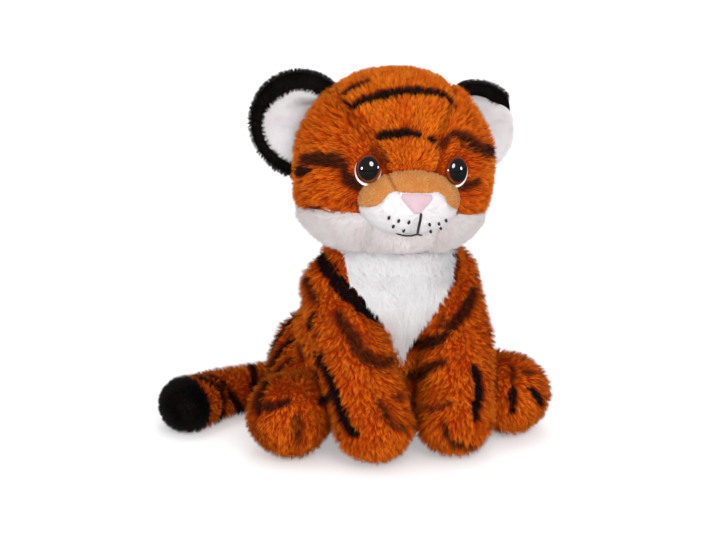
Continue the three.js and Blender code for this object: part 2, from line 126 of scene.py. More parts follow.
def swung(points: Array, pivot: Triple, axis: Triple, degrees: float) -> Array:
    """Points turned about an axis through a pivot."""
    turn = np.array(Matrix.Rotation(np.radians(degrees), 3, Vector(axis)))
    return (points - np.array(pivot)) @ turn.T + np.array(pivot)


def ripples(points: Array, wavelength: float, seed: int) -> Array:
    """Soft noise between about -1 and 1: a sum of six sine waves in seeded directions, at one wavelength.

    Args:
        points: places in mm, one row each.
        wavelength: the distance in mm over which the noise swings once.
        seed: picks the waves.

    Returns:
        One value for each point.
    """
    rng = np.random.default_rng(seed)
    waves = unit(rng.normal(size=(6, 3))) * (2 * np.pi / wavelength) * rng.uniform(0.7, 1.4, (6, 1))
    phases = rng.uniform(0, 2 * np.pi, 6)
    return np.sin(points @ waves.T + phases).sum(axis=-1) / np.sqrt(12)


def catmull(points: Array, shares: Array) -> Array:
    """A uniform Catmull-Rom curve through points, its ends extrapolated, at shares of its length by count.

    Args:
        points: the places that the curve passes through.
        shares: where to read it, 0 at the first point and 1 at the last.

    Returns:
        One row for each share.
    """
    place = np.clip(shares, 0, 1) * (len(points) - 1)
    index = np.minimum(place.astype(int), len(points) - 2)
    w = (place - index)[:, None]
    ends = np.vstack([2 * points[0] - points[1], points, 2 * points[-1] - points[-2]])
    before, start, end, after = (ends[index + step] for step in range(4))
    leave, arrive = (end - before) / 2, (after - start) / 2
    square = -3 * start + 3 * end - 2 * leave - arrive
    cube = 2 * start - 2 * end + leave + arrive
    return start + leave * w + square * w**2 + cube * w**3


def furthest(holds: Callable[[Array], Array], count: int, limit: float, steps: int) -> Array:
    """How far a test holds, found by halving.

    Args:
        holds: a function of one distance for each place that says whether the test holds there.
        count: how many places there are.
        limit: the distance at which it surely doesn't hold.
        steps: how often to halve.

    Returns:
        One distance for each place, where the test just stops holding.
    """
    low, high = np.zeros(count), np.full(count, limit)
    for _ in range(steps):
        half = (low + high) / 2
        within = holds(half)
        low, high = np.where(within, half, low), np.where(within, high, half)
    return high


def outward(grid: Array) -> Array:
    """Outward unit directions of a grid of rings, from the cross product of its two steps.

    Args:
        grid: rows by columns by 3.

    Returns:
        One direction for each place.
    """
    round_step = np.roll(grid, -1, axis=1) - np.roll(grid, 1, axis=1)
    normal = np.cross(round_step, np.gradient(grid, axis=0))
    poles = unit(grid[[0, -1]].mean(axis=1) - grid.mean(axis=(0, 1)))
    normal[0], normal[-1] = poles[0], poles[1]
    return unit(normal)


def lumpy(grid: Array, size: float, seed: int) -> Array:
    """Soft lumps of the filling: noise 34 mm across, along the form's own outward direction."""
    height = ripples(grid.reshape(-1, 3), 34.0, seed) * size
    return grid + outward(grid) * height.reshape(grid.shape[:2])[..., None]


@dataclass
class Skin:
    """Triangles of a surface in mm, with a place on the bake map for each corner."""

    points: Array
    faces: Array
    uv: Array

    def welded(self) -> "Skin":
        """Merges corners in one place, and drops triangles that this leaves without area."""
        keys = np.round(self.points * 1000).astype(np.int64)
        _, first, index = np.unique(keys, axis=0, return_index=True, return_inverse=True)
        faces = index.reshape(-1)[self.faces]
        whole = (faces[:, 0] != faces[:, 1]) & (faces[:, 1] != faces[:, 2]) & (faces[:, 2] != faces[:, 0])
        return Skin(self.points[first], faces[whole], self.uv[whole])

    def normals(self) -> tuple[Array, Array]:
        """Face normals times twice their area, and unit normals at the points.

        Returns:
            The faces' cross products, and the points' smooth normals.
        """
        a, b, c = (self.points[self.faces[:, k]] for k in range(3))
        cross = np.cross(b - a, c - a)
        summed = np.zeros_like(self.points)
        for corner in range(3):
            np.add.at(summed, self.faces[:, corner], cross)
        return cross, unit(summed)

    def joined(self, other: "Skin") -> "Skin":
        """This surface and another as one."""
        faces = np.vstack([self.faces, other.faces + len(self.points)])
        return Skin(np.vstack([self.points, other.points]), faces, np.vstack([self.uv, other.uv]))


# The bake map: the outside and the fabric's back lie in two flat strips, below the cells of the strands
OUTSIDE_STRIP = (0.005, 0.11)
RIM_STRIP = (0.008, 0.11)
BACK_STRIP = (0.125, 0.015)
STRANDS_START = 0.15


def closed_skin(grid: Array) -> Skin:
    """A closed form from a grid of rings whose first and last ring are drawn to a point.

    Each cell is two triangles that wind the same way, outwards where the rings turn counter-clockwise about
    the direction in which they follow each other.

    Args:
        grid: rows by columns by 3, in mm.

    Returns:
        The welded surface.
    """
    return panel_skin(grid, None, np.ones((grid.shape[0] - 1, grid.shape[1]), bool))


def panel_skin(outer: Array, inner: Array | None, mask: Array) -> Skin:
    """A fabric panel: the masked cells of an outer grid, the same cells of an inner one, and a rim between.

    Args:
        outer: rows by columns by 3, in mm.
        inner: the fabric's other side, or None for a closed form that has none.
        mask: which cells belong to the panel.

    Returns:
        The welded surface.
    """
    rows, columns = outer.shape[:2]
    quads, corners = [], []

    def add(cells: tuple[Array, Array], steps: tuple, layers: tuple, strips: tuple) -> None:
        """One quad for each cell, from the steps to its corners, their layers and their strips of the map.

        Args:
            cells: rows and columns of the cells.
            steps: from a cell to its four corners.
            layers: 0 for the outer and 1 for the inner grid, at each corner.
            strips: start and height of the strip of the map, at each corner.
        """
        spots = [(cells[0] + down, cells[1] + right) for down, right in steps]
        numbers = [row * columns + column % columns for row, column in spots]
        quads.append(np.stack([layer * rows * columns + number for layer, number in zip(layers, numbers)], 1))
        map_places = [
            np.stack([column / columns, start + height * row / rows], axis=-1)
            for (row, column), (start, height) in zip(spots, strips)
        ]
        corners.append(np.stack(map_places, 1))

    if inner is not None:
        padded = np.pad(mask, ((1, 1), (0, 0)), mode="edge")
        sides = (
            (~padded[2:], (1, 0), (1, 1)),
            (~padded[:-2], (0, 1), (0, 0)),
            (~np.roll(mask, -1, axis=1), (1, 1), (0, 1)),
            (~np.roll(mask, 1, axis=1), (0, 0), (1, 0)),
        )
        for bare, start, end in sides:
            strips = (OUTSIDE_STRIP, OUTSIDE_STRIP, RIM_STRIP, RIM_STRIP)
            add(np.nonzero(mask & bare), (start, end, end, start), (0, 0, 1, 1), strips)
        add(np.nonzero(mask), ((0, 0), (1, 0), (1, 1), (0, 1)), (1, 1, 1, 1), (BACK_STRIP,) * 4)
    add(np.nonzero(mask), ((0, 0), (0, 1), (1, 1), (1, 0)), (0, 0, 0, 0), (OUTSIDE_STRIP,) * 4)
    quad, uv = np.vstack(quads), np.vstack(corners)
    faces = np.vstack([quad[:, [0, 1, 2]], quad[:, [0, 2, 3]]])
    uvs = np.vstack([uv[:, [0, 1, 2]], uv[:, [0, 2, 3]]])
    layers = [outer.reshape(-1, 3)] + ([] if inner is None else [inner.reshape(-1, 3)])
    skin = Skin(np.vstack(layers), faces, uvs).welded()
    used, index = np.unique(skin.faces, return_inverse=True)
    return Skin(skin.points[used], index.reshape(-1, 3), skin.uv)


# ---------------------------------------------------------------------------------------------------------
# Forms: the same formulas as the solids


@dataclass
class StuffedForm:
    """A form along a smooth spine: an ellipse square to the heading at each share, closed by round caps.

    stations are rows of x, y, z, half width and half depth. The heading is the curve's tangent times lie,
    one number per axis. The ellipse stands on across and along, which are square to the heading, along being
    as near to reference as it can.
    """

    stations: Array
    caps: tuple[float, float]
    reference: Triple
    lie: Triple = (1, 1, 1)
    rings: int = 40

    def frames(self, shares: Array) -> tuple[Array, Array, Array, Array, Array]:
        """The form's own frame along its spine.

        Args:
            shares: places along the spine, 0 at its start and 1 at its end.

        Returns:
            Centre, across, along, heading and half sizes at each share.
        """
        step = 1e-3
        centre = catmull(self.stations[:, :3], shares)
        ahead = catmull(self.stations[:, :3], shares + step) - catmull(self.stations[:, :3], shares - step)
        heading = unit(ahead * np.array(self.lie))
        reference = np.array(self.reference, float)
        along = unit(reference - heading * (heading @ reference)[:, None])
        across = np.cross(along, heading)
        return centre, across, along, heading, catmull(self.stations[:, 3:], shares)

    def grid(self, grow: float, rows: int, columns: int, cap_rows: int = 10) -> Array:
        """The surface set off by grow, as rings from one pole to the other.

        A ring is centre + across * wide * cos + along * deep * sin. In a cap the ring moves out along the
        heading by the cap's length times cos and shrinks by sin, as on an ellipsoid.

        Args:
            grow: how far to set the surface off, in mm.
            rows: how many rings to put along the spine.
            columns: how many places to put on a ring.
            cap_rows: how many rings to put on each cap.

        Returns:
            The grid.
        """
        cap = np.linspace(0, np.pi / 2, cap_rows + 1)[:-1]
        shares = np.concatenate([np.zeros(cap_rows), np.linspace(0, 1, rows), np.ones(cap_rows)])
        shift = np.concatenate([-(self.caps[0] + grow) * np.cos(cap), np.zeros(rows)])
        shift = np.concatenate([shift, (self.caps[1] + grow) * np.cos(cap[::-1])])
        swell = np.concatenate([np.sin(cap), np.ones(rows), np.sin(cap[::-1])])
        centre, across, along, heading, half = self.frames(shares)
        centre = centre + heading * shift[:, None]
        angle = turns(columns)
        wide = ((half[:, 0] + grow) * swell)[:, None, None]
        deep = ((half[:, 1] + grow) * swell)[:, None, None]
        cosine, sine = np.cos(angle)[:, None], np.sin(angle)[:, None]
        return centre[:, None] + (across[:, None] * wide * cosine + along[:, None] * deep * sine)

    def at(self, share: Array, turn: Array, grow: float = 0.0) -> Array:
        """Places on the surface.

        Args:
            share: how far along the spine each is.
            turn: how far round it, in degrees.
            grow: how far to set the surface off, in mm.

        Returns:
            One place for each share.
        """
        centre, across, along, _, half = self.frames(share)
        angle = np.radians(turn)[:, None]
        wide, deep = half[:, :1] + grow, half[:, 1:] + grow
        return centre + across * wide * np.cos(angle) + along * deep * np.sin(angle)

    def reach(self, points: Array, grow: float = 0.0) -> tuple[Array, Array, Array]:
        """How far out each point lies: 0 on the spine and 1 on the surface, from the closest of its rings.

        Args:
            points: places in mm, one row each.
            grow: how far to set the surface off, in mm.

        Returns:
            The value, the ring's centre and its heading, for each point.
        """
        shares = np.linspace(0, 1, self.rings)
        centre, across, along, heading, half = self.frames(shares)
        rel = points[:, None] - centre[None]
        a = np.einsum("nsk,sk->ns", rel, across) / (half[:, 0] + grow)
        b = np.einsum("nsk,sk->ns", rel, along) / (half[:, 1] + grow)
        h = np.einsum("nsk,sk->ns", rel, heading)
        length = np.broadcast_to(half.min(axis=1) + grow, h.shape).copy()
        length[:, 0] = np.where(h[:, 0] < 0, self.caps[0] + grow, length[:, 0])
        length[:, -1] = np.where(h[:, -1] > 0, self.caps[1] + grow, length[:, -1])
        value = np.sqrt(a * a + b * b + (h / length) ** 2)
        best = value.argmin(axis=1)
        return value[np.arange(len(points)), best], centre[best], heading[best]

    def pushed_out(self, points: Array, grow: float) -> Array:
        """Points inside the form moved straight out from the spine to its surface, set off by grow.

        Args:
            points: places in mm, one row each.
            grow: how far to set the surface off, in mm.

        Returns:
            The places, those outside as they were.
        """
        value, centre, _ = self.reach(points, grow)
        scale = np.where(value < 1, 1 / np.maximum(value, 0.05), 1)[:, None]
        return centre + (points - centre) * scale


@dataclass
class HeadForm:
    """An egg with full jowls in a tilted frame: its half sizes follow (1 - share^s)^(1/s) of its height."""

    half_width: float = 65.0
    half_depth: float = 56.0
    crown: float = 61.5
    jowl: float = 58.0
    seat: float = 3.5
    forward: float = 12.0
    tilt_degrees: float = 4.7
    yaw_degrees: float = -5.0
    crown_square: float = 2.0
    jowl_square: float = 3.2
    throat_square: float = 2.4
    turn: Array = field(init=False)
    middle: Array = field(init=False)

    def __post_init__(self) -> None:
        """Works out the frame: a tilt about Y, then a turn about Z."""
        tilt = Matrix.Rotation(np.radians(self.tilt_degrees), 3, "Y")
        yaw = Matrix.Rotation(np.radians(self.yaw_degrees), 3, "Z")
        self.turn = np.array(yaw @ tilt)
        self.middle = np.array([0, SEAT_SHIFT - self.forward, NECK_HEIGHT + self.jowl - self.seat])

    def out(self, local: Array) -> Array:
        """Places in the head's frame, taken to the toy's."""
        return local @ self.turn.T + self.middle

    def into(self, points: Array) -> Array:
        """Places in the toy's frame, taken to the head's."""
        return (points - self.middle) @ self.turn

    def halves(self, height: Array, grow: float) -> tuple[Array, Array]:
        """Half width and half depth.

        Args:
            height: in mm, in the head's frame.
            grow: how far to set the surface off, in mm.

        Returns:
            The two, for each height.
        """
        above = height > 0
        share = np.minimum(np.abs(height) / (np.where(above, self.crown, self.jowl) + grow), 1)
        wide_square = np.where(above, self.crown_square, self.jowl_square)
        deep_square = np.where(above, self.crown_square, self.throat_square)
        wide = (self.half_width + grow) * (1 - share**wide_square) ** (1 / wide_square)
        deep = (self.half_depth + grow) * (1 - share**deep_square) ** (1 / deep_square)
        return wide, deep

    def at(self, turn: Array, height: Array) -> Array:
        """Places on the surface, in the toy's frame, at turns in degrees and heights in the head's frame.

        Args:
            turn: one for each place.
            height: one for each place.

        Returns:
            One row for each place.
        """
        wide, deep = self.halves(height, 0.0)
        angle = np.radians(turn)
        return self.out(np.stack([wide * np.cos(angle), deep * np.sin(angle), height], axis=-1))

    def local_grid(self, grow: float, rows: int, columns: int) -> Array:
        """The surface in the head's frame, as level rings from the throat's pole to the crown's.

        Args:
            grow: how far to set the surface off, in mm.
            rows: how many rings there are.
            columns: how many places are on a ring.

        Returns:
            The grid.
        """
        level = -np.cos(np.linspace(0, np.pi, rows))
        height = level * (np.where(level > 0, self.crown, self.jowl) + grow)
        wide, deep = self.halves(height, grow)
        wide[[0, -1]] = deep[[0, -1]] = 0
        angle = turns(columns)
        x = wide[:, None] * np.cos(angle)
        y = deep[:, None] * np.sin(angle)
        return np.stack([x, y, np.broadcast_to(height[:, None], x.shape)], axis=-1)

    def inside(self, local: Array, grow: float) -> Array:
        """Whether places lie inside the form.

        Args:
            local: places in the head's frame, one row each.
            grow: how far to set the surface off, in mm.

        Returns:
            One value for each place.
        """
        wide, deep = self.halves(local[:, 2], grow)
        tall = np.where(local[:, 2] > 0, self.crown, self.jowl) + grow
        within = (local[:, 0] / np.maximum(wide, 1e-6)) ** 2 + (local[:, 1] / np.maximum(deep, 1e-6)) ** 2 < 1
        return within & (np.abs(local[:, 2]) < tall)

    def pushed_out(self, points: Array, grow: float) -> Array:
        """Points inside the form moved straight out from its middle to the surface, found by halving.

        Args:
            points: places in the toy's frame, one row each.
            grow: how far to set the surface off, in mm.

        Returns:
            The places, those outside as they were.
        """
        local = self.into(points)
        inside = self.inside(local, grow)
        direction = unit(local[inside])

        def still(far: Array) -> Array:
            """Whether places so far from the middle are inside."""
            return self.inside(direction * far[:, None], grow)

        local[inside] = direction * furthest(still, len(direction), 120.0, 24)[:, None]
        return self.out(local)

    def face_seat(self, x: float, z: float, sink: float) -> tuple[Array, Array]:
        """A frame on the face, whose rows are across, outward and upright.

        Args:
            x: how far to the toy's left it is, in the head's frame.
            z: how high it is, in the head's frame.
            sink: how deep under the surface it lies, in mm.

        Returns:
            The frame's place and its axes, in the head's frame.
        """

        def surface(u: float, v: float) -> Array:
            """The front of the form at x = u, z = v."""
            wide, deep = self.halves(np.array([v]), 0.0)
            return np.array([u, -deep[0] * np.sqrt(1 - (u / wide[0]) ** 2), v])

        at = surface(x, z)
        facing = unit(np.cross(surface(x + 1, z) - at, surface(x, z + 1) - at))
        upright = unit(np.array([0, 0, 1.0]) - facing * facing[2])
        across = np.cross(facing, upright)
        return at - facing * sink, np.stack([across, facing, upright])


HEAD = HeadForm()


@dataclass
class Snout:
    """The muzzle: an ellipsoid low on the face, part of it under the tan bridge."""

    half_width: float = 33.0
    half_depth: float = 25.0
    half_height: float = 23.5
    forward: float = 43.0
    drop: float = 12.5

    def grid(self, grow: float, rows: int, columns: int) -> Array:
        """The ellipsoid in the head's frame, as rings from its front pole to its back.

        Args:
            grow: how far to set the surface off, in mm.
            rows: how many rings there are.
            columns: how many places are on a ring.

        Returns:
            The grid.
        """
        angle = turns(columns)
        arc = np.linspace(0, np.pi, rows)[:, None]
        sine = np.sin(arc)
        sine[[0, -1]] = 0
        x = (self.half_width + grow) * sine * np.cos(angle)
        z = -(self.half_height + grow) * sine * np.sin(angle) - self.drop
        y = -(self.half_depth + grow) * np.cos(arc) - self.forward + 0 * x
        return np.stack([x, y, z], axis=-1)

    def reach(self, local: Array, grow: float = 0.0) -> Array:
        """How far out each place in the head's frame is: 1 on the surface."""
        halves = np.array([self.half_width, self.half_depth, self.half_height]) + grow
        return np.linalg.norm((local - [0, -self.forward, -self.drop]) / halves, axis=-1)

    def front(self, x: Array, z: Array, grow: Array | float) -> Array:
        """Places on the front of the surface.

        Args:
            x: how far to the toy's left they are, in the head's frame.
            z: how high they are, in the head's frame.
            grow: how far to set the surface off, in mm.

        Returns:
            The places, in the head's frame.
        """
        wide, tall = self.half_width + grow, self.half_height + grow
        bare = 1 - (x / wide) ** 2 - ((z + self.drop) / tall) ** 2
        y = -self.forward - (self.half_depth + grow) * np.sqrt(np.maximum(bare, 0))
        return np.stack([x, y, z], axis=-1)


SNOUT = Snout()


def torso_form() -> StuffedForm:
    """The torso: a pear that leans forward."""
    shares = [(0.08, 0.4, 0.91, 0.88), (0.23, 0.41, 1, 0.97), (0.42, 0.33, 0.97, 0.98)]
    shares += [(0.61, 0.13, 0.9, 0.98), (0.79, -0.09, 0.81, 0.91), (0.92, -0.14, 0.72, 0.76)]
    rows = [
        (0, back * 45 + SEAT_SHIFT, up * NECK_HEIGHT, wide * 64, deep * 45) for up, back, wide, deep in shares
    ]
    return StuffedForm(np.array(rows, float), (0.08 * NECK_HEIGHT + 0.5, 34.0), (0, 1, 0), (0, 0, 1))


def front_leg_form(side: int) -> StuffedForm:
    """A front leg, from the shoulder over the elbow to the paw.

    Args:
        side: 1 for the toy's left, -1 for its right.

    Returns:
        The form.
    """
    rows = [(side * 35, -3 + SEAT_SHIFT, 103, 24, 24), (side * 34, -35 + SEAT_SHIFT, 66, 25, 25)]
    rows += [(side * 26.8, -54 + SEAT_SHIFT, 26, 26.5, 26.5)]
    return StuffedForm(np.array(rows, float), (24.0, 26.5), (0, 1, 0))


def hind_leg_form(side: int) -> StuffedForm:
    """A hind leg, from the thigh over the knee to the foot.

    Args:
        side: 1 for the toy's left, -1 for its right.

    Returns:
        The form.
    """
    rows = [(side * 44, 20 + SEAT_SHIFT, 41.5, 31, 42), (side * 59, -2 + SEAT_SHIFT, 26.5, 25, 27)]
    rows += [(side * 74, -24 + SEAT_SHIFT, 27, 27.5, 27.5)]
    return StuffedForm(np.array(rows, float), (31.0, 27.5), (0, 0, 1), (1, 1, 0))


def tail_form() -> StuffedForm:
    """The tail, from its root behind the seat round to the toy's right."""
    reach, bulge, tip = [0.03, 0.3, 0.57, 0.8, 1], [0.1, 0.9, 0.95, 0.6, 0], [0, 0, 0, 0.3, 1]
    rows = []
    for share, out, full in zip(reach, bulge, tip):
        half = 15 + 2.5 * full
        rows.append((-121.5 * share, 52 - 8 * share + 24 * out + SEAT_SHIFT, half - 0.5, half, half))
    return StuffedForm(np.array(rows, float), (15.0, 17.5), (0, 0, 1), (1, 1, 0))


TORSO = torso_form()
FRONT = {1: front_leg_form(1), -1: front_leg_form(-1)}
HIND = {1: hind_leg_form(1), -1: hind_leg_form(-1)}
TAIL = tail_form()


@dataclass(frozen=True)
class Hinge:
    """A seam that a form turns about: a point on its axis, the axis, and its limit in degrees."""

    pivot: Triple
    axis: Triple
    degrees: float

    def moved(self, points: Array, share: float = 1.0) -> Array:
        """Points of the form that turns, at a share of its limit."""
        return swung(points, self.pivot, self.axis, self.degrees * share)

    def left(self, points: Array) -> Array:
        """Points that stay behind, as the form at its limit meets them in its own rest frame."""
        return swung(points, self.pivot, self.axis, -self.degrees)


NECK = Hinge((0.0, -25.0, NECK_HEIGHT), (0, 0, 1), 25.0)
SHOULDER = {side: Hinge((side * 35.0, -21.0, 103.0), (-1, 0, 0), 35.0) for side, _ in SIDES}
HIP = {side: Hinge((side * 44.0, 17.5, 42.0), (0, 0, side), 15.0) for side, _ in SIDES}
TAIL_ROOT = Hinge((0.0, 34.0, 15.0), (0, 0, -1), 45.0)


def sewn_on(points: Array) -> Array:
    """Places inside the head, pushed out to where a skin that is sewn onto it begins."""
    return HEAD.pushed_out(points, -PILE_DEPTH + SEWN)


def clear_of(form: StuffedForm, points: Array, moved: Array, grow: float) -> Array:
    """Whether places are outside a form, set off by grow, where they are or where they have moved to."""
    return (form.reach(points, grow)[0] > 1) | (form.reach(moved, grow)[0] > 1)


def thin_below(normals: Array, rng: np.random.Generator, level: float, share: float) -> Array:
    """True where a normal doesn't point down past a level, and for a share of the places where it does."""
    return (normals[:, 2] > level) | (rng.uniform(size=len(normals)) < share)


def free_of(neighbours: tuple[StuffedForm, ...], hinge: Hinge, rng: np.random.Generator) -> Field:
    """Where a limb's pile grows.

    Args:
        neighbours: the forms that the limb is pressed against.
        hinge: what it turns about.
        rng: the random draws.

    Returns:
        A test of places and normals: clear of the neighbours, at rest or moved, and thinner underneath.
    """

    def free(points: Array, normals: Array) -> Array:
        """Whether pile grows here.

        Args:
            points: places in mm, one row each.
            normals: their normals.

        Returns:
            One value for each place.
        """
        clear = np.ones(len(points), bool)
        moved = hinge.moved(points)
        for neighbour in neighbours:
            clear &= clear_of(neighbour, points, moved, -PILE_DEPTH + 0.2)
        return clear & thin_below(normals, rng, -0.8, 0.4)

    return free


def within(test: Field, part: Callable[[Array], Array], wanted: bool) -> Field:
    """A test that holds where another one does, and where places belong to a part or don't, as wanted."""

    def both(points: Array, normals: Array) -> Array:
        """Both at once."""
        return test(points, normals) & (part(points) == wanted)

    return both


# ---------------------------------------------------------------------------------------------------------
# The photograph's view, and the stripes that are read in it


@dataclass
class PhotoView:
    """The camera that the photograph was fitted with, in mm and degrees."""

    azimuth: float = -17.6
    elevation: float = 17.4
    scale: float = 0.648
    distance: float = 3000.0
    aim_across: float = -19.2
    aim_up: float = 104.6
    width: int = 716
    height: int = 540
    sensor: float = 36.0

    def axes(self) -> tuple[Array, Array, Array]:
        """The view's right, up and into directions."""
        a, e = np.radians(self.azimuth), np.radians(self.elevation)
        right = np.array([np.cos(a), np.sin(a), 0])
        into = np.array([-np.sin(a) * np.cos(e), np.cos(a) * np.cos(e), -np.sin(e)])
        return right, np.cross(right, into), into

    def eye(self) -> Array:
        """The camera's place in mm."""
        right, up, into = self.axes()
        aim = right * self.aim_across + up * self.aim_up + np.array([0, SEAT_SHIFT, 0])
        return aim - into * self.distance

    def ray(self, x: float, y: float) -> Array:
        """The direction of the line of sight through a pixel.

        Args:
            x: the pixel's column.
            y: its row.

        Returns:
            A unit direction.
        """
        right, up, into = self.axes()
        long = self.distance / self.scale
        return unit(into + right * (x - self.width / 2) / long - up * (y - self.height / 2) / long)

    def camera(self) -> None:
        """Makes the scene's camera."""
        data = bpy.data.cameras.new("photo_camera")
        data.sensor_width = self.sensor
        data.lens = self.sensor * self.distance / self.scale / self.width
        data.clip_start, data.clip_end = 0.1, 20.0
        right, up, into = self.axes()
        matrix = Matrix([[*row] for row in np.stack([right, up, -into], axis=1)]).to_4x4()
        matrix.translation = Vector(self.eye() * METRES)
        camera = bpy.data.objects.new("photo_camera", data)
        camera.matrix_world = matrix
        bpy.context.scene.collection.objects.link(camera)
        bpy.context.scene.camera = camera


VIEW = PhotoView()


@dataclass(frozen=True)
class Stripe:
    """A dark stripe, or a line or patch of painted shade, along points of the photograph in pixels, its half
    width and edge in mm, and its ink.
    """

    points: Line
    half: float = 2.6
    edge: float = 0.9
    ink: float = 1.0


HEAD_STRIPES = (
    Stripe(((337, 94), (352, 86), (368, 79)), 1.9),
    Stripe(((349, 106), (363, 98), (393, 90.5), (411, 88.7), (433, 90.5), (447, 94), (456, 101)), 2.7),
    Stripe(((340, 99), (349, 106)), 1.6),
    # Painted shade: this line and the next are thin dark lines along the forehead gusset's seams, for the
    # shade in their creases
    Stripe(((335, 86), (345, 110), (358, 126), (371, 139), (379, 150)), 0.9, 0.9, 0.8),
    Stripe(((459, 93), (452, 110), (446, 125), (441, 140)), 0.9, 0.9, 0.8),
    Stripe(((373, 137), (384, 134), (396, 132.5), (408, 131), (418.6, 133)), 2.2),
    Stripe(((430, 137.5), (437, 139.5)), 1.8),
    Stripe(((298, 160), (308, 159), (319, 160), (331, 161), (342, 167)), 3.3, 1.5, 0.92),
    Stripe(((331, 155), (343, 165)), 2.6, 2.2, 0.85),
    Stripe(((340, 172), (346, 180), (355, 188), (366, 191)), 3.2, 2.2, 0.9),
    Stripe(((303, 213), (310, 212), (318, 212)), 2.2, 1.8, 0.8),
    Stripe(((346, 205), (357, 206.5)), 1.8, 1.8, 0.6),
    # Painted shade: a dark line along the seam between the toy's right eye and the bridge
    Stripe(((374, 147), (379, 155), (382.5, 166)), 2.6, 2.4, 0.7),
    Stripe(((443, 150), (446, 141), (453, 134), (462, 135)), 2.3, 2.0, 0.85),
    Stripe(((459, 134), (471, 138), (481, 146), (492, 154)), 3.3, 1.8, 0.9),
    Stripe(((465, 143), (472, 147), (479, 150)), 1.6, 1.8, 0.7),
    Stripe(((457, 187), (468, 187), (480, 183)), 2.8, 1.8, 0.85),
)

BODY_STRIPES = (
    Stripe(((315, 249), (320, 261), (328, 272), (338, 284), (350, 296), (364, 309), (383, 320)), 3.4),
    Stripe(((302, 278), (307, 291), (314.5, 304)), 2.7, 1.8, 0.85),
    Stripe(
        ((337, 316), (345, 326), (352, 337), (361, 350), (372, 360), (385, 363), (395, 361)), 3.6, 2.6, 0.85
    ),
    Stripe(((313.5, 356), (320, 369), (327, 381), (333, 398), (338, 413), (346, 430), (353, 437)), 3.5),
    Stripe(((382, 402), (385, 413), (390, 421), (399, 428), (408, 432)), 2.3, 2.4, 0.8),
    Stripe(((399, 398), (405, 394)), 2.3, 2.2, 0.75),
    Stripe(((457, 251), (456, 262), (453, 276), (447, 288)), 3.4),
    Stripe(((476, 290), (472, 303), (463, 314), (455, 323), (446, 328)), 3.2, 1.5, 0.9),
    Stripe(((441, 318), (436, 332)), 1.8, 1.8, 0.8),
    Stripe(((410, 351), (423, 344), (434, 341), (444, 335)), 2.9, 1.6, 0.95),
    Stripe(((411, 379), (420, 374), (430, 368), (442, 364)), 3.0, 2.2, 0.9),
    Stripe(((476, 370), (480, 381), (481, 395), (478, 408), (477, 420)), 3.0),
    Stripe(((417, 408), (432, 409), (446, 405)), 2.0, 2.4, 0.75),
    Stripe(((415.5, 420), (415, 432), (416, 444)), 1.8, 2.0, 0.75),
    Stripe(((443, 427), (446, 438), (453, 446), (464, 450), (476, 449)), 2.5, 2.4, 0.85),
    Stripe(((264, 381), (259, 392), (255, 404), (258, 414)), 3.4, 2.2, 0.9),
    Stripe(((256, 405), (270, 407), (287, 401)), 2.6, 1.4, 0.9),
    Stripe(((300, 419), (299, 432), (297, 446)), 2.8, 2.6, 0.75),
    # Painted shade: the shadow behind the toy's right front leg, laid as a stripe
    Stripe(((296, 346), (300, 358)), 2.2, 2.2, 0.8),
    Stripe(((513, 364), (514, 373), (513, 382)), 2.0, 1.8, 0.8),
    Stripe(((514, 390), (514, 400), (513, 412)), 2.4),
    Stripe(((525, 371), (536, 372)), 2.0, 1.8, 0.75),
    Stripe(((533, 390), (539, 397), (545, 407)), 2.4),
    Stripe(((491, 424), (498, 431)), 2.0, 1.8, 0.7),
)


# The tail's rings: half width in mm and (share, turn) pairs, read in the photograph where it shows them
TAIL_RINGS = (
    (3.1, (
        (0.93, 140), (0.93, 100), (0.915, 68), (0.87, 40), (0.865, 10), (0.87, -14), (0.855, -48),
        (0.85, -90), (0.88, -135), (0.92, -180), (0.93, -220),
    )),
    (3.1, (
        (0.84, 140), (0.84, 90), (0.81, 50), (0.785, 24), (0.735, -4), (0.655, -52), (0.64, -90),
        (0.71, -135), (0.8, -180), (0.84, -220),
    )),
    (3.5, (
        (0.5, 140), (0.52, 95), (0.56, 40), (0.58, 0), (0.56, -45), (0.53, -90), (0.5, -135), (0.48, -180),
        (0.5, -220),
    )),
    (3.4, (
        (0.3, 140), (0.28, 90), (0.3, 40), (0.34, 0), (0.33, -45), (0.3, -90), (0.27, -135), (0.27, -180),
        (0.3, -220),
    )),
    (3.2, ((0.13, 150), (0.11, 90), (0.13, 30))),
)

# Stripes that the photograph doesn't show: on the head as (turn, height) pairs, on the torso as (share, turn)
HEAD_ARCS = (
    ((95, 33), (110, 36), (130, 35), (150, 27)), ((30, 33), (50, 37), (70, 36), (85, 33)),
    ((100, 10), (125, 14), (150, 10), (165, 4)), ((15, 4), (35, 11), (60, 14), (82, 11)),
    ((98, -14), (120, -11), (145, -15), (162, -21)), ((18, -20), (40, -14), (64, -11), (84, -14)),
    ((60, 50), (90, 52), (120, 50)), ((-28, 18), (-18, 12), (-8, 10)), ((200, -2), (190, -6), (178, -8)),
)
TORSO_ARCS = (
    *(
        line
        for high in (0.28, 0.5, 0.72, 0.9)
        for line in (
            ((high, 82), (high - 0.05, 60), (high - 0.02, 38)),
            ((high + 0.05, 98), (high, 118), (high + 0.03, 136)),
        )
    ),
    ((0.42, 8), (0.36, 20), (0.38, 34)),
)


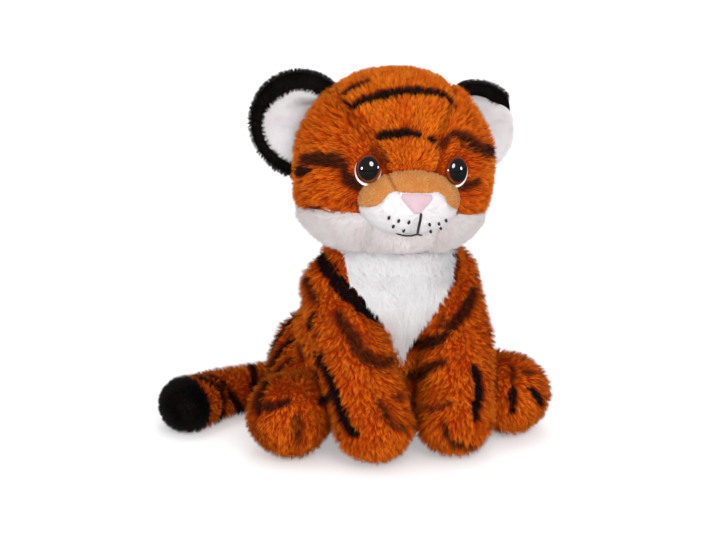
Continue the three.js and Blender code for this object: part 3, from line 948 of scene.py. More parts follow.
@dataclass
class StripeMap:
    """Samples of the stripes in space, and how dark a place is from them.

    looks are rows of half width, edge and ink for each sample.
    """

    samples: Array
    looks: Array
    reach: float = 12.0
    batch: int = 8000
    fray: float = 0.5
    fray_length: float = 8.0
    chance: float = 0.25

    def mark(self, points: Array, rng: np.random.Generator, seed: int) -> Array:
        """How far each place is into a stripe, 0 to 1, with a frayed edge.

        It is the ink of the sample whose half width the place is least beyond, times a smooth step of that
        distance over the sample's edge, plus soft noise and a little chance.

        Args:
            points: places in mm, one row each.
            rng: the random draws.
            seed: picks the soft noise.

        Returns:
            One value for each place.
        """
        low, high = points.min(axis=0) - self.reach, points.max(axis=0) + self.reach
        near = ((self.samples > low) & (self.samples < high)).all(axis=1)
        if not near.any():
            return np.zeros(len(points))
        samples, looks = self.samples[near].astype(np.float32), self.looks[near].astype(np.float32)
        gap, best = np.empty(len(points), np.float32), np.empty(len(points), int)
        squares = (samples**2).sum(axis=1)
        for start in range(0, len(points), self.batch):
            rows = slice(start, start + self.batch)
            part = points[rows].astype(np.float32)
            square = (part**2).sum(axis=1)[:, None] + squares - 2 * part @ samples.T
            beyond = np.sqrt(np.maximum(square, 0)) - looks[:, 0]
            best[rows], gap[rows] = beyond.argmin(axis=1), beyond.min(axis=1)
        gap = gap / looks[best, 1] + self.fray * ripples(points, self.fray_length, seed)
        gap = gap + rng.normal(0, self.chance, len(points))
        return smooth(1, -1, gap) * looks[best, 2]


def traced(stripes: tuple[Stripe, ...], forms: BVHTree) -> tuple[Array, Array]:
    """Stripes of the photograph laid on the forms that its lines of sight meet first.

    Args:
        stripes: the stripes, in pixels.
        forms: the forms' search tree.

    Returns:
        The samples' places in mm and their looks, whose half widths narrow towards a stripe's ends.
    """
    eye = Vector(VIEW.eye())
    places, looks = [], []
    for stripe in stripes:
        line = np.array(stripe.points, float)
        count = max(int(np.linalg.norm(np.diff(line, axis=0), axis=1).sum() / 1.5), 4)
        shares = np.linspace(0, 1, count)
        for (x, y), share in zip(catmull(line, shares), shares):
            hit = forms.ray_cast(eye, Vector(VIEW.ray(x, y)))[0]
            if hit is not None:
                places.append(tuple(hit))
                looks.append((stripe.half * (1.1 + 0.4 * np.sin(np.pi * share)), stripe.edge, stripe.ink))
    return np.array(places), np.array(looks)


def drawn(form: "StuffedForm | HeadForm", lines: tuple, half: float) -> tuple[Array, Array]:
    """Stripes on the sides that the photograph doesn't show.

    Args:
        form: what they lie on.
        lines: lines of pairs that the form's at method takes.
        half: their half width in mm, which narrows towards their ends.

    Returns:
        The samples' places in mm and their looks.
    """
    shares = np.linspace(0, 1, 60)
    pairs = [catmull(np.array(line, float), shares) for line in lines]
    wide = half * (0.75 + 0.45 * np.sin(np.pi * shares))
    look = np.stack([wide, np.full(60, 1.0), np.full(60, 0.97)], axis=-1)
    return np.vstack([form.at(pair[:, 0], pair[:, 1]) for pair in pairs]), np.tile(look, (len(lines), 1))


def sighted(forms: BVHTree, points: Array) -> Array:
    """Where the photograph's lines of sight meet a form, or the place on it nearest to a line that misses it.

    Args:
        forms: the form's search tree.
        points: x, y pairs in pixels.

    Returns:
        One place in mm for each pair.
    """
    eye = Vector(VIEW.eye())
    places = []
    for x, y in points:
        ray = Vector(VIEW.ray(x, y))
        hit = forms.ray_cast(eye, ray)[0]
        beside = eye + ray * (VIEW.distance - 80.0)
        places.append(tuple(hit if hit is not None else forms.find_nearest(beside)[0]))
    return np.array(places)


def tree_of(*grids: Array) -> BVHTree:
    """A search tree over closed grids."""
    whole = reduce(Skin.joined, map(closed_skin, grids))
    return BVHTree.FromPolygons(whole.points.tolist(), whole.faces.tolist())


def stripe_map() -> StripeMap:
    """All stripes: those of the photograph, and the ones on the sides that it doesn't show."""
    body = [TORSO.grid(0, 40, 72), TAIL.grid(0, 50, 40)]
    body += [form.grid(0, 30, 48) for form in (*FRONT.values(), *HIND.values())]
    head = by_rows(HEAD.out, HEAD.local_grid(0.0, 60, 96))
    parts = [traced(HEAD_STRIPES, tree_of(head)), traced(BODY_STRIPES, tree_of(*body))]
    parts += [drawn(HEAD, HEAD_ARCS, 3.2), drawn(TORSO, TORSO_ARCS, 3.4)]
    for side, _ in SIDES:
        outer = 90 + 90 * side
        lines = [
            ((share, outer - side * 38), (share + 0.05, outer - side * 10), (share + 0.02, outer + side * 20))
            for share in (0.2, 0.45, 0.7)
        ]
        parts.append(drawn(FRONT[side], lines, 2.8))
        outer = 90 - 90 * side
        lines = [
            ((share, outer + side * 70), (share + 0.05, outer + side * 30), (share, outer - side * 15))
            for share in (0.02, 0.22, 0.44)
        ]
        parts.append(drawn(HIND[side], lines, 3.0))
    parts += [drawn(TAIL, (line,), half) for half, line in TAIL_RINGS]
    return StripeMap(np.vstack([places for places, _ in parts]), np.vstack([looks for _, looks in parts]))


# ---------------------------------------------------------------------------------------------------------
# Pile


@dataclass(frozen=True)
class Coat:
    """A pile: how many strands, their length and thickness in mm, their lean, and how they gather."""

    count: int
    length: float = 6.0
    thick: float = 0.26
    upright: float = 0.75
    lean: float = 0.65
    jitter: float = 0.22
    tuft: float = 7.0
    gather: float = 0.56
    swirl: float = 0.35
    relief: float = 0.45
    swirl_length: float = 28.0
    lengths: tuple[float, float] = (0.78, 1.12)
    thicks: tuple[float, float] = (0.8, 1.2)
    gathers: tuple[float, float] = (0.5, 1.0)
    roll: float = 0.35
    root_depth: float = 0.4
    flatness: float = 0.45
    marks: tuple[float, float] = (0.62, 0.85)


SHORN = Coat(9000, length=1.5, thick=0.15, upright=0.8, lean=0.5, gather=0.15, jitter=0.3, relief=0.25)


@dataclass
class Strands:
    """Strands of pile: four points each, three at the root and one at the tip.

    tone is one value for each strand's points; level holds the two places where a strand's lower part and
    its tip read the stripes.
    """

    points: Array
    normals: Array
    tone: Array
    level: Array

    FACES = np.array([(0, 1, 3), (1, 2, 3), (2, 0, 3), (0, 2, 1)])
    CELL = np.array(
        [((0.08, 0.08), (0.92, 0.08), (0.5, 0.94))] * 3 + [((0.08, 0.08), (0.5, 0.3), (0.92, 0.08))]
    )
    TIP = (0.1, 0.1, 0.1, 1.0)

    def skin(self) -> Skin:
        """The strands' faces, each strand on a small cell of its own on the bake map."""
        count = len(self.points)
        if not count:
            return Skin(np.zeros((0, 3)), np.zeros((0, 3), int), np.zeros((0, 3, 2)))
        aspect = 1 - STRANDS_START
        columns = int(np.ceil(np.sqrt(count / aspect)))
        rows = int(np.ceil(count / columns))
        index = np.arange(count)
        up = STRANDS_START + (index // columns) * aspect / rows
        corner = np.stack([index % columns / columns, up], axis=-1)
        uv = corner[:, None, None] + (self.CELL * np.array([1 / columns, aspect / rows]))[None]
        faces = (index[:, None, None] * 4 + self.FACES[None]).reshape(-1, 3)
        return Skin(self.points.reshape(-1, 3), faces, uv.reshape(-1, 3, 2))


def nearest(points: Array, centres: Array, batch: int = 4000) -> Array:
    """The index of the nearest centre to each point.

    Args:
        points: places in mm, one row each.
        centres: the places to choose from.
        batch: how many points to work on at once.

    Returns:
        One index for each point.
    """
    best = np.empty(len(points), int)
    squares = (centres**2).sum(axis=1)
    for start in range(0, len(points), batch):
        part = points[start : start + batch].astype(np.float32)
        best[start : start + batch] = (squares - 2 * part @ centres.astype(np.float32).T).argmin(axis=1)
    return best


def scattered(skin: Skin, count: int, rng: np.random.Generator, keep: Field) -> tuple[Array, Array]:
    """Places on a surface, evenly by area, where a test holds.

    Args:
        skin: the surface.
        count: how many places are wanted.
        rng: the random draws.
        keep: a test of places and normals.

    Returns:
        Up to count places and their normals.
    """
    cross, point_normals = skin.normals()
    area = np.linalg.norm(cross, axis=1)
    total = np.cumsum(area)
    roots, normals, have, tries = [], [], 0, 0
    while have < count and tries < 12:
        tries += 1
        face = np.searchsorted(total, rng.uniform(0, total[-1], count))
        corners = skin.faces[np.minimum(face, len(area) - 1)]
        u, v = rng.uniform(size=(2, count, 1))
        flip = u + v > 1
        u, v = np.where(flip, 1 - u, u), np.where(flip, 1 - v, v)
        place, normal = (
            values[corners][:, 0] * (1 - u - v) + values[corners][:, 1] * u + values[corners][:, 2] * v
            for values in (skin.points, point_normals)
        )
        normal = unit(normal)
        good = keep(place, normal)
        roots.append(place[good])
        normals.append(normal[good])
        have += int(good.sum())
    return np.vstack(roots)[:count], np.vstack(normals)[:count]


def grown(
    skin: Skin,
    coat: Coat,
    comb: Field,
    keep: Field,
    rng: np.random.Generator,
    shorten: Callable[[Array], Array] | None = None,
) -> Strands:
    """Grows strands of pile on a surface.

    A strand is a flat three-sided spike, its broad side along the surface. It leaves its root along its
    normal and the comb's direction, and its tip is drawn towards the mean tip of its tuft.

    Args:
        skin: the surface that the roots stand on.
        coat: the pile.
        comb: a function of places and normals that gives the lie of the pile.
        keep: a function of places and normals that says where pile grows.
        rng: the random draws.
        shorten: a function of places that gives a share of the full length, or None.

    Returns:
        The strands.
    """
    roots, normals = scattered(skin, coat.count, rng, keep)
    count = len(roots)
    tufts = roots[rng.permutation(count)[: max(int(count / coat.tuft), 1)]]
    member = nearest(roots, tufts)
    tuft_tone = rng.uniform(0, 1, len(tufts))
    tuft_jitter = rng.normal(0, coat.jitter, (len(tufts), 3))
    swirl = np.stack([ripples(roots, coat.swirl_length, seed) for seed in (3, 5, 7)], axis=-1)
    lie = comb(roots, normals) + coat.swirl * swirl
    lie = unit(lie - normals * (lie * normals).sum(axis=1, keepdims=True))
    chance = tuft_jitter[member] + rng.normal(0, coat.jitter * 0.6, (count, 3))
    direction = unit(normals * coat.upright + lie * coat.lean + chance)
    length = coat.length * rng.uniform(*coat.lengths, (count, 1))
    if shorten is not None:
        length = length * shorten(roots)[:, None]
    tips = roots + direction * length
    heads = np.zeros((len(tufts), 3))
    np.add.at(heads, member, tips)
    heads = heads / np.maximum(np.bincount(member, minlength=len(tufts))[:, None], 1)
    tips = tips + (heads[member] - tips) * coat.gather * rng.uniform(*coat.gathers, (count, 1))
    axis = unit(tips - roots)
    beside = unit(np.cross(axis, normals))
    above = np.cross(beside, axis)
    roll = rng.normal(0, coat.roll, (count, 1))
    beside, above = beside * np.cos(roll) + above * np.sin(roll), above * np.cos(roll) - beside * np.sin(roll)
    ring = np.stack([beside, -beside, above * coat.flatness], axis=1)
    thick = coat.thick * rng.uniform(*coat.thicks, (count, 1, 1))
    base = (roots - normals * coat.root_depth)[:, None] + ring * thick
    points = np.concatenate([base, tips[:, None]], axis=1)
    facing = unit(np.concatenate([ring, axis[:, None] * 0.4], axis=1) * coat.relief + normals[:, None])
    points[..., 2] = np.maximum(points[..., 2], FLOOR_CLEARANCE)
    tone = tuft_tone[member] * 0.6 + rng.uniform(0, 0.4, count)
    step = tips - roots
    flat = step - normals * (step * normals).sum(axis=1, keepdims=True)
    stack = np.stack([flat * share for share in coat.marks], axis=1)
    level = (roots + normals * PILE_DEPTH)[:, None] + stack
    return Strands(points, facing, np.repeat(tone[:, None], 4, axis=1), level)


# ---------------------------------------------------------------------------------------------------------
# Finishes


def linear(colour: str) -> tuple[float, float, float, float]:
    """An sRGB hex colour as linear red, green, blue and alpha."""
    parts = [int(colour[i : i + 2], 16) / 255 for i in (1, 3, 5)]
    return (*(p / 12.92 if p <= 0.04045 else ((p + 0.055) / 1.055) ** 2.4 for p in parts), 1.0)


def add_node(
    tree: bpy.types.NodeTree, kind: str, settings: dict | None = None, links: dict | None = None
) -> bpy.types.Node:
    """Adds a node, sets its properties and its inputs' values, and links its inputs.

    Args:
        tree: the material's node tree.
        kind: the node's type.
        settings: property names or input names or numbers, and their values.
        links: input names or numbers, and the output socket that each is linked to.

    Returns:
        The node.
    """
    node = tree.nodes.new(kind)
    for key, value in (settings or {}).items():
        if isinstance(key, str) and hasattr(node, key):
            setattr(node, key, value)
        else:
            node.inputs[key].default_value = value
    for key, socket in (links or {}).items():
        tree.links.new(socket, node.inputs[key])
    return node


def object_place(tree: bpy.types.NodeTree) -> bpy.types.NodeSocket:
    """The object coordinates, in metres."""
    return add_node(tree, "ShaderNodeTexCoord").outputs["Object"]


def attribute(tree: bpy.types.NodeTree, name: str) -> bpy.types.NodeSocket:
    """A point attribute."""
    return add_node(tree, "ShaderNodeAttribute", {"attribute_name": name}).outputs["Fac"]


def noise(
    tree: bpy.types.NodeTree, place: bpy.types.NodeSocket, millimetres: float, detail: float = 2.0
) -> bpy.types.NodeSocket:
    """Noise whose patches are a number of millimetres across."""
    settings = {"Scale": 1000 / millimetres, "Detail": detail}
    return add_node(tree, "ShaderNodeTexNoise", settings, {"Vector": place}).outputs["Fac"]


def ranged(
    tree: bpy.types.NodeTree,
    value: bpy.types.NodeSocket,
    to: tuple[float, float],
    start: tuple[float, float] = (0.0, 1.0),
) -> bpy.types.NodeSocket:
    """A value's range start taken to the range to."""
    settings = {"From Min": start[0], "From Max": start[1], "To Min": to[0], "To Max": to[1]}
    return add_node(tree, "ShaderNodeMapRange", settings, {"Value": value}).outputs[0]


def ramp(
    tree: bpy.types.NodeTree, factor: bpy.types.NodeSocket, stops: tuple[tuple[float, str], ...]
) -> bpy.types.NodeSocket:
    """A colour ramp through hex colours at their positions.

    Args:
        tree: the material's node tree.
        factor: where on the ramp to read it.
        stops: positions and hex colours.

    Returns:
        The colour.
    """
    node = add_node(tree, "ShaderNodeValToRGB", {}, {0: factor})
    elements = node.color_ramp.elements
    while len(elements) < len(stops):
        elements.new(0.5)
    for element, (position, colour) in zip(elements, stops):
        element.position, element.color = position, linear(colour)
    return node.outputs["Color"]


def mixed(
    tree: bpy.types.NodeTree,
    factor: bpy.types.NodeSocket | float,
    first: bpy.types.NodeSocket | str,
    second: bpy.types.NodeSocket | str,
    blend: str = "MIX",
) -> bpy.types.NodeSocket:
    """A mix of two colours.

    Args:
        tree: the material's node tree.
        factor: the second colour's share, a socket or a number.
        first: a socket or a hex colour.
        second: a socket or a hex colour.
        blend: the node's blend type.

    Returns:
        The mixed colour.
    """
    node = add_node(tree, "ShaderNodeMix", {"data_type": "RGBA", "blend_type": blend})
    for index, value in ((0, factor), (6, first), (7, second)):
        if isinstance(value, bpy.types.NodeSocket):
            tree.links.new(value, node.inputs[index])
        else:
            node.inputs[index].default_value = linear(value) if isinstance(value, str) else value
    return node.outputs[2]


def new_material(name: str) -> tuple[bpy.types.Material, bpy.types.NodeTree, bpy.types.Node]:
    """A material with one Principled shader.

    Args:
        name: its name.

    Returns:
        The material, its node tree and its shader.
    """
    material = bpy.data.materials.new(name)
    material.use_nodes = True
    return material, material.node_tree, material.node_tree.nodes["Principled BSDF"]


def dress(tree: bpy.types.NodeTree, shader: bpy.types.Node, sockets: dict, values: dict[str, float]) -> None:
    """Links a shader's inputs to sockets, and sets others to plain values.

    Args:
        tree: the material's node tree.
        shader: the node whose inputs are set.
        sockets: the sockets to link, by the input's name.
        values: plain values, by the input's name.
    """
    for name, socket in sockets.items():
        tree.links.new(socket, shader.inputs[name])
    for name, value in values.items():
        shader.inputs[name].default_value = value


def bumped(
    tree: bpy.types.NodeTree, height: bpy.types.NodeSocket, strength: float, distance: float
) -> bpy.types.NodeSocket:
    """Normals tipped by a height of some metres."""
    settings = {"Strength": strength, "Distance": distance}
    return add_node(tree, "ShaderNodeBump", settings, {"Height": height}).outputs["Normal"]


@dataclass(frozen=True)
class PileFinish:
    """Polyester pile, knitted and tumbled.

    The strands are dull and soft: the root colour is deep and saturated, painted shade for the light lost
    between them, paler at the tip, with a faint sheen along the edges of the form. Stripes are printed on the
    pile, so they stay dark down to the root, pale a little at the tips and fray at their edges; a few marks
    drawn the same way are painted shade. Patches 12.5 mm across drift towards a second colour, and each tuft
    is a little brighter or darker.
    """

    name: str
    root: str
    body: str
    tip: str
    drift: str
    spread: float
    sheen: float
    mark_root: str = "#120A08"
    mark_tip: str = "#3A221A"
    roughness: float = 0.82
    patch: float = 12.5
    grain: float = 2 / 3
    relief: float = 0.0003
    specular: float = 0.08

    def material(self) -> bpy.types.Material:
        """Makes the material from the tip, mark and tone attributes and two sizes of noise."""
        material, tree, shader = new_material(self.name)
        tip, mark, tone = (attribute(tree, name) for name in ("tip", "mark", "tone"))
        place = object_place(tree)
        patch = ranged(tree, noise(tree, place, self.patch), (0.0, 0.55), (0.42, 0.68))
        plain = ramp(tree, tip, ((0.0, self.root), (0.5, self.body), (1.0, self.tip)))
        plain = mixed(tree, patch, plain, self.drift, "MULTIPLY")
        dark = ramp(tree, tip, ((0.0, self.mark_root), (0.6, self.mark_root), (1.0, self.mark_tip)))
        colour = mixed(tree, mark, plain, dark)
        bright = ranged(tree, tone, (1 - self.spread, 1 + self.spread))
        varied = add_node(tree, "ShaderNodeHueSaturation", {}, {"Value": bright, "Color": colour})
        grain = noise(tree, place, self.grain, 1.0)
        dull = ranged(tree, grain, (self.roughness - 0.1, min(self.roughness + 0.1, 1.0)))
        normal = bumped(tree, grain, 0.35, self.relief)
        dress(
            tree,
            shader,
            {"Base Color": varied.outputs["Color"], "Roughness": dull, "Normal": normal},
            {"Sheen Weight": self.sheen, "Sheen Roughness": 0.5, "Specular IOR Level": self.specular},
        )
        return material


@dataclass(frozen=True)
class ClothFinish:
    """A smooth cloth, such as felt or tricot, from a fine grain and soft mottling.

    grain is the size of its texture in mm, and ribs the distance between its ribs, or 0. A felt shows matted
    fibre, a tricot or a thread fine ribs, all dull with a faint sheen; a moulded plastic only its grain.
    """

    name: str
    colour: str
    shade: str
    grain: float
    ribs: float = 0.0
    roughness: float = 0.85
    sheen: float = 0.2
    relief: float = 0.0003
    mottling: float = 100 / 9

    def material(self) -> bpy.types.Material:
        """Makes the material."""
        material, tree, shader = new_material(self.name)
        place = object_place(tree)
        fine = height = noise(tree, place, 2 * self.grain)
        if self.ribs:
            settings = {"Scale": 1000 / self.ribs / 6.28, "Distortion": 0.6}
            wave = add_node(tree, "ShaderNodeTexWave", settings, {"Vector": place})
            height = mixed(tree, 0.5, height, wave.outputs["Color"])
        shade = ranged(tree, noise(tree, place, self.mottling), (0.0, 0.8), (0.35, 0.7))
        colour = mixed(tree, shade, self.colour, self.shade)
        colour = mixed(tree, ranged(tree, fine, (0.0, 0.3), (0.3, 0.7)), colour, self.shade)
        dull = ranged(tree, fine, (self.roughness - 0.08, min(self.roughness + 0.08, 1.0)))
        normal = bumped(tree, height, 0.5, self.relief)
        sockets = {"Base Color": colour, "Roughness": dull, "Normal": normal}
        dress(tree, shader, sockets, {"Sheen Weight": self.sheen})
        return material


@dataclass(frozen=True)
class EyeFinish:
    """Clear acrylic over a printed iris: a black pupil, a red-brown ring and a dark rim, very glossy."""

    name: str = "domed_acrylic_eye"
    pupil: str = "#050303"
    iris: str = "#7A2E14"
    iris_edge: str = "#A04A26"
    rim: str = "#140806"
    flecks: float = 10 / 7
    clear: tuple[float, float] = (0.03, 0.07)
    coat_index: float = 2.2

    def material(self) -> bpy.types.Material:
        """Makes the material from the radial attribute, which is 0 at the pupil's middle and 1 at the rim."""
        material, tree, shader = new_material(self.name)
        flecks = noise(tree, object_place(tree), self.flecks, 3.0)
        stops = ((0.0, self.pupil), (0.76, self.pupil), (0.81, self.iris), (0.9, self.iris_edge))
        colour = ramp(tree, attribute(tree, "radial"), (*stops, (0.95, self.rim), (1.0, self.rim)))
        colour = mixed(tree, flecks, colour, self.rim, "SOFT_LIGHT")
        dress(
            tree,
            shader,
            {"Base Color": colour, "Roughness": ranged(tree, flecks, self.clear)},
            {"IOR": 1.49, "Coat Weight": 1.0, "Coat IOR": self.coat_index, "Coat Roughness": 0.03},
        )
        return material


Finish = PileFinish | ClothFinish | EyeFinish

# Pile: root, body, tip and drift colours, how far the tufts' brightness spreads, and the sheen
ORANGE = PileFinish("tumbled_polyester_pile_orange", "#7C1E00", "#CE4E02", "#FF9224", "#DC8E64", 0.36, 0.0)
WHITE = PileFinish("tumbled_polyester_pile_white", "#F0EAEE", "#FDFBFC", "#FFFFFF", "#F8F5F6", 0.05, 0.1)
# The jowls' and chin's white is a greyer, warmer copy of the white pile: painted shade, with painted bounce
# light from the orange pile
WHITE_PAINTED_SHADE = PileFinish("polyester_pile_white_painted_shade", "#E0D6D6", "#F0E7E7", "#F8F1F1", "#F2EBEA", 0.05, 0.1)
BLACK = PileFinish("dense_polyester_pile_black", "#040303", "#100B0B", "#231C1B", "#0C0908", 0.3, 0.05)
SHORN_WHITE = PileFinish(
    "shorn_polyester_velour_white", "#EDE8EA", "#F4F1F2", "#FAF8F9", "#F2EDEF", 0.04, 0.05
)
SHORN_TAN = PileFinish("shorn_polyester_velour_tan", "#C07838", "#DE9A58", "#F0B274", "#F0CCA4", 0.12, 0.05)
TRICOT = ClothFinish("brushed_polyester_tricot_pink", "#CEB4BC", "#C3A2AD", 0.4, ribs=0.9)
FELT = ClothFinish("needled_polyester_felt", "#F7F4F2", "#E2DCDA", 0.6, roughness=0.92)
THREAD = ClothFinish("embroidery_thread_black", "#14100F", "#2B2422", 0.35, ribs=0.5, roughness=0.6)
WASHER = ClothFinish(
    "moulded_polyethylene", "#E6E5E0", "#D6D5CF", 1.2, roughness=0.45, sheen=0.0, relief=0.0001
)


# ---------------------------------------------------------------------------------------------------------
# Meshes


def object_of(
    name: str,
    skin: Skin,
    attributes: dict[str, Array],
    material: bpy.types.Material,
    normals: Array | None = None,
) -> bpy.types.Object:
    """A mesh object from triangles in mm, with point attributes, its bake map and its material.

    Args:
        name: the piece's name.
        skin: its triangles.
        attributes: values for each point, by name.
        material: its finish.
        normals: shading normals for each point where they aren't the faces' own.

    Returns:
        The object, at the origin and linked to the scene.
    """
    mesh = bpy.data.meshes.new(name)
    mesh.vertices.add(len(skin.points))
    mesh.vertices.foreach_set("co", (skin.points * METRES).astype(np.float32).ravel())
    mesh.loops.add(skin.faces.size)
    mesh.loops.foreach_set("vertex_index", skin.faces.astype(np.int32).ravel())
    mesh.polygons.add(len(skin.faces))
    mesh.polygons.foreach_set("loop_start", np.arange(0, skin.faces.size, 3, dtype=np.int32))
    mesh.update(calc_edges=True)
    mesh.shade_smooth()
    for key, values in attributes.items():
        layer = mesh.attributes.new(key, "FLOAT", "POINT")
        layer.data.foreach_set("value", values.astype(np.float32))
    layer = mesh.uv_layers.new(name="OFBake")
    layer.uv.foreach_set("vector", skin.uv.astype(np.float32).ravel())
    mesh.materials.append(material)
    if normals is not None:
        mesh.normals_split_custom_set_from_vertices(normals.astype(np.float32))
    piece = bpy.data.objects.new(name, mesh)
    bpy.context.scene.collection.objects.link(piece)
    log.info("%s: %d triangles", name, len(skin.faces))
    return piece


@dataclass
class Dresser:
    """Turns a skin and its strands into a piece, with the stripes' marks and the materials."""

    stripes: StripeMap
    materials: dict[str, bpy.types.Material] = field(default_factory=dict)

    def material(self, finish: Finish) -> bpy.types.Material:
        """The finish's material, made once.

        Args:
            finish: the finish.

        Returns:
            The material.
        """
        if finish.name not in self.materials:
            self.materials[finish.name] = finish.material()
        return self.materials[finish.name]

    def piece(
        self,
        name: str,
        skin: Skin,
        strands: Strands,
        finish: PileFinish,
        rng: np.random.Generator,
        seed: int,
        marked: bool = True,
    ) -> bpy.types.Object:
        """Joins a skin and its strands into one object with its attributes.

        Args:
            name: the piece's name.
            skin: the fabric's backing.
            strands: the pile on it.
            finish: its look.
            rng: the random draws.
            seed: picks the stripes' soft noise.
            marked: whether stripes may cross it.

        Returns:
            The object.
        """
        whole = skin.joined(strands.skin())
        ends = len(skin.points)
        normals = skin.normals()[1]
        # The backing takes tip 0.12, a colour near the strands' roots, so it carries the same painted shade
        tip = np.concatenate([np.full(ends, 0.12), np.tile(strands.TIP, len(strands.points))])
        tone = np.concatenate([np.full(ends, 0.5), strands.tone.ravel()])
        mark = np.zeros(len(whole.points))
        if marked:
            mark[:ends] = self.stripes.mark(skin.points + normals * PILE_DEPTH, rng, seed)
            levels = self.stripes.mark(strands.level.reshape(-1, 3), rng, seed).reshape(-1, 2)
            mark[ends:] = levels[:, [0, 0, 0, 1]].ravel()
        normals = np.vstack([normals, strands.normals.reshape(-1, 3)])
        values = {"tip": tip, "tone": tone, "mark": mark}
        return object_of(name, whole, values, self.material(finish), normals)


def declare(slot: str, replaced: tuple[str, ...]) -> None:
    """Hides the solids that a piece stands for.

    Args:
        slot: not used.
        replaced: the nodes that it stands for.
    """
    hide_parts(*replaced)


# ---------------------------------------------------------------------------------------------------------
# Sub-assemblies


@dataclass
class Body:
    """The torso and its white bib, a rounded shield that narrows to its tip."""

    rows: int = 100
    columns: int = 170
    lump: float = 0.8
    bib_tip: float = 57.0
    bib_front: float = -25.0
    bib_half: float = 37.0
    bib_heights: tuple[float, ...] = (0, 0.12, 0.3, 0.46, 0.6, 0.76, 1.3)
    bib_widths: tuple[float, ...] = (0, 0.1, 0.27, 0.46, 0.68, 0.95, 1)
    bib_lean: float = -0.028
    edge_width: float = 4.0
    edge_turn: float = 0.9
    coat: Coat = Coat(38000)
    bib_coat: Coat = Coat(15000, length=6.5, thick=0.28, upright=0.5, relief=0.5, gather=0.42, jitter=0.18)

    def bib_half_at(self, z: Array) -> Array:
        """The bib's half width at a height, or -1 below its tip."""
        high = self.bib_tip + np.array(self.bib_heights) * (NECK_HEIGHT - self.bib_tip)
        return np.interp(z, high, np.array(self.bib_widths) * self.bib_half, left=-1.0)

    def in_bib(self, points: Array) -> Array:
        """Whether places belong to the bib."""
        return (points[..., 1] < self.bib_front) & (np.abs(points[..., 0]) < self.bib_half_at(points[..., 2]))

    def grids(self) -> list[Array]:
        """The fabric's outside and inside, dipped under the head."""
        layers = []
        for depth in (PILE_DEPTH, PILE_DEPTH + FABRIC):
            grid = lumpy(TORSO.grid(-depth, self.rows, self.columns), self.lump, 11)
            layers.append(self.under_head(grid.reshape(-1, 3), depth).reshape(grid.shape))
        return layers

    def under_head(self, points: Array, depth: float) -> Array:
        """Points inside the head, as it stands or turned to a limit, lowered to just under its skin.

        Args:
            points: places on the torso, one row each.
            depth: how deep they lie under the pile's surface.

        Returns:
            The places, lowered straight down by as little as it takes.
        """

        def inside(drop: Array) -> Array:
            """Whether the points are still in the head, at one of its turns, when they drop so far.

            Args:
                drop: how far each drops, in mm.

            Returns:
                One value for each point.
            """
            lowered = points - np.stack([0 * drop, 0 * drop, drop], axis=-1)
            grow = -PILE_DEPTH + PRESSED + (depth - PILE_DEPTH)
            turned = (HEAD.into(NECK.moved(lowered, share)) for share in (-1, 0, 1))
            return np.any([HEAD.inside(local, grow) for local in turned], axis=0)

        drop = furthest(inside, len(points), 60.0, 20)
        return points - np.stack([0 * drop, 0 * drop, drop], axis=-1)

    def build(self, dresser: Dresser, rng: np.random.Generator) -> None:
        """Makes the torso and the bib.

        Args:
            dresser: turns skins into pieces.
            rng: the random draws.
        """
        outer, inner = self.grids()
        bib = self.in_bib(cell_middles(outer))

        def open_air(points: Array, normals: Array) -> Array:
            """Where the torso is free of its neighbours, at rest or with them moved.

            Args:
                points: places in mm, one row each.
                normals: their normals.

            Returns:
                One value for each place.
            """
            free = ~HEAD.inside(HEAD.into(points), -1.0)
            for side, _ in SIDES:
                free &= clear_of(FRONT[side], points, SHOULDER[side].left(points), -PILE_DEPTH - 1)
                free &= clear_of(HIND[side], points, HIP[side].left(points), -PILE_DEPTH - 1)
            return free & thin_below(normals, rng, -0.75, 0.25)

        def over_edge(points: Array, normals: Array) -> Array:
            """Downwards, and over the edge of the bib beside it.

            Args:
                points: places in mm, one row each.
                normals: their normals.

            Returns:
                One direction for each place.
            """
            past = np.abs(points[:, 0]) - self.bib_half_at(points[:, 2])
            near = bell(past, self.edge_width) * (points[:, 1] < self.bib_front + 4)
            sideways = (np.sign(points[:, 0]) * near * self.edge_turn)[:, None]
            return np.array([0, 0, -1.0]) - sideways * np.array([1.0, 0, 0])

        def down(points: Array, normals: Array) -> Array:
            """Downwards, and a little towards the bib's middle."""
            return points * [self.bib_lean, 0, 0] + [0, 0, -1]

        keep = within(open_air, self.in_bib, False)
        coat = grown(panel_skin(outer, None, ~bib), self.coat, over_edge, keep, rng)
        piece = dresser.piece("torso_plush", panel_skin(outer, inner, ~bib), coat, ORANGE, rng, 21)
        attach(piece, "torso")
        declare("orange_plush", ("torso_shell", "torso_stuffing", "pellet_pouch"))
        keep = within(open_air, self.in_bib, True)
        coat = grown(panel_skin(outer, None, bib), self.bib_coat, down, keep, rng)
        piece = dresser.piece("bib_plush", panel_skin(outer, inner, bib), coat, WHITE, rng, 22, marked=False)
        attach(piece, "torso")
        declare("white_plush", ("chest_bib",))


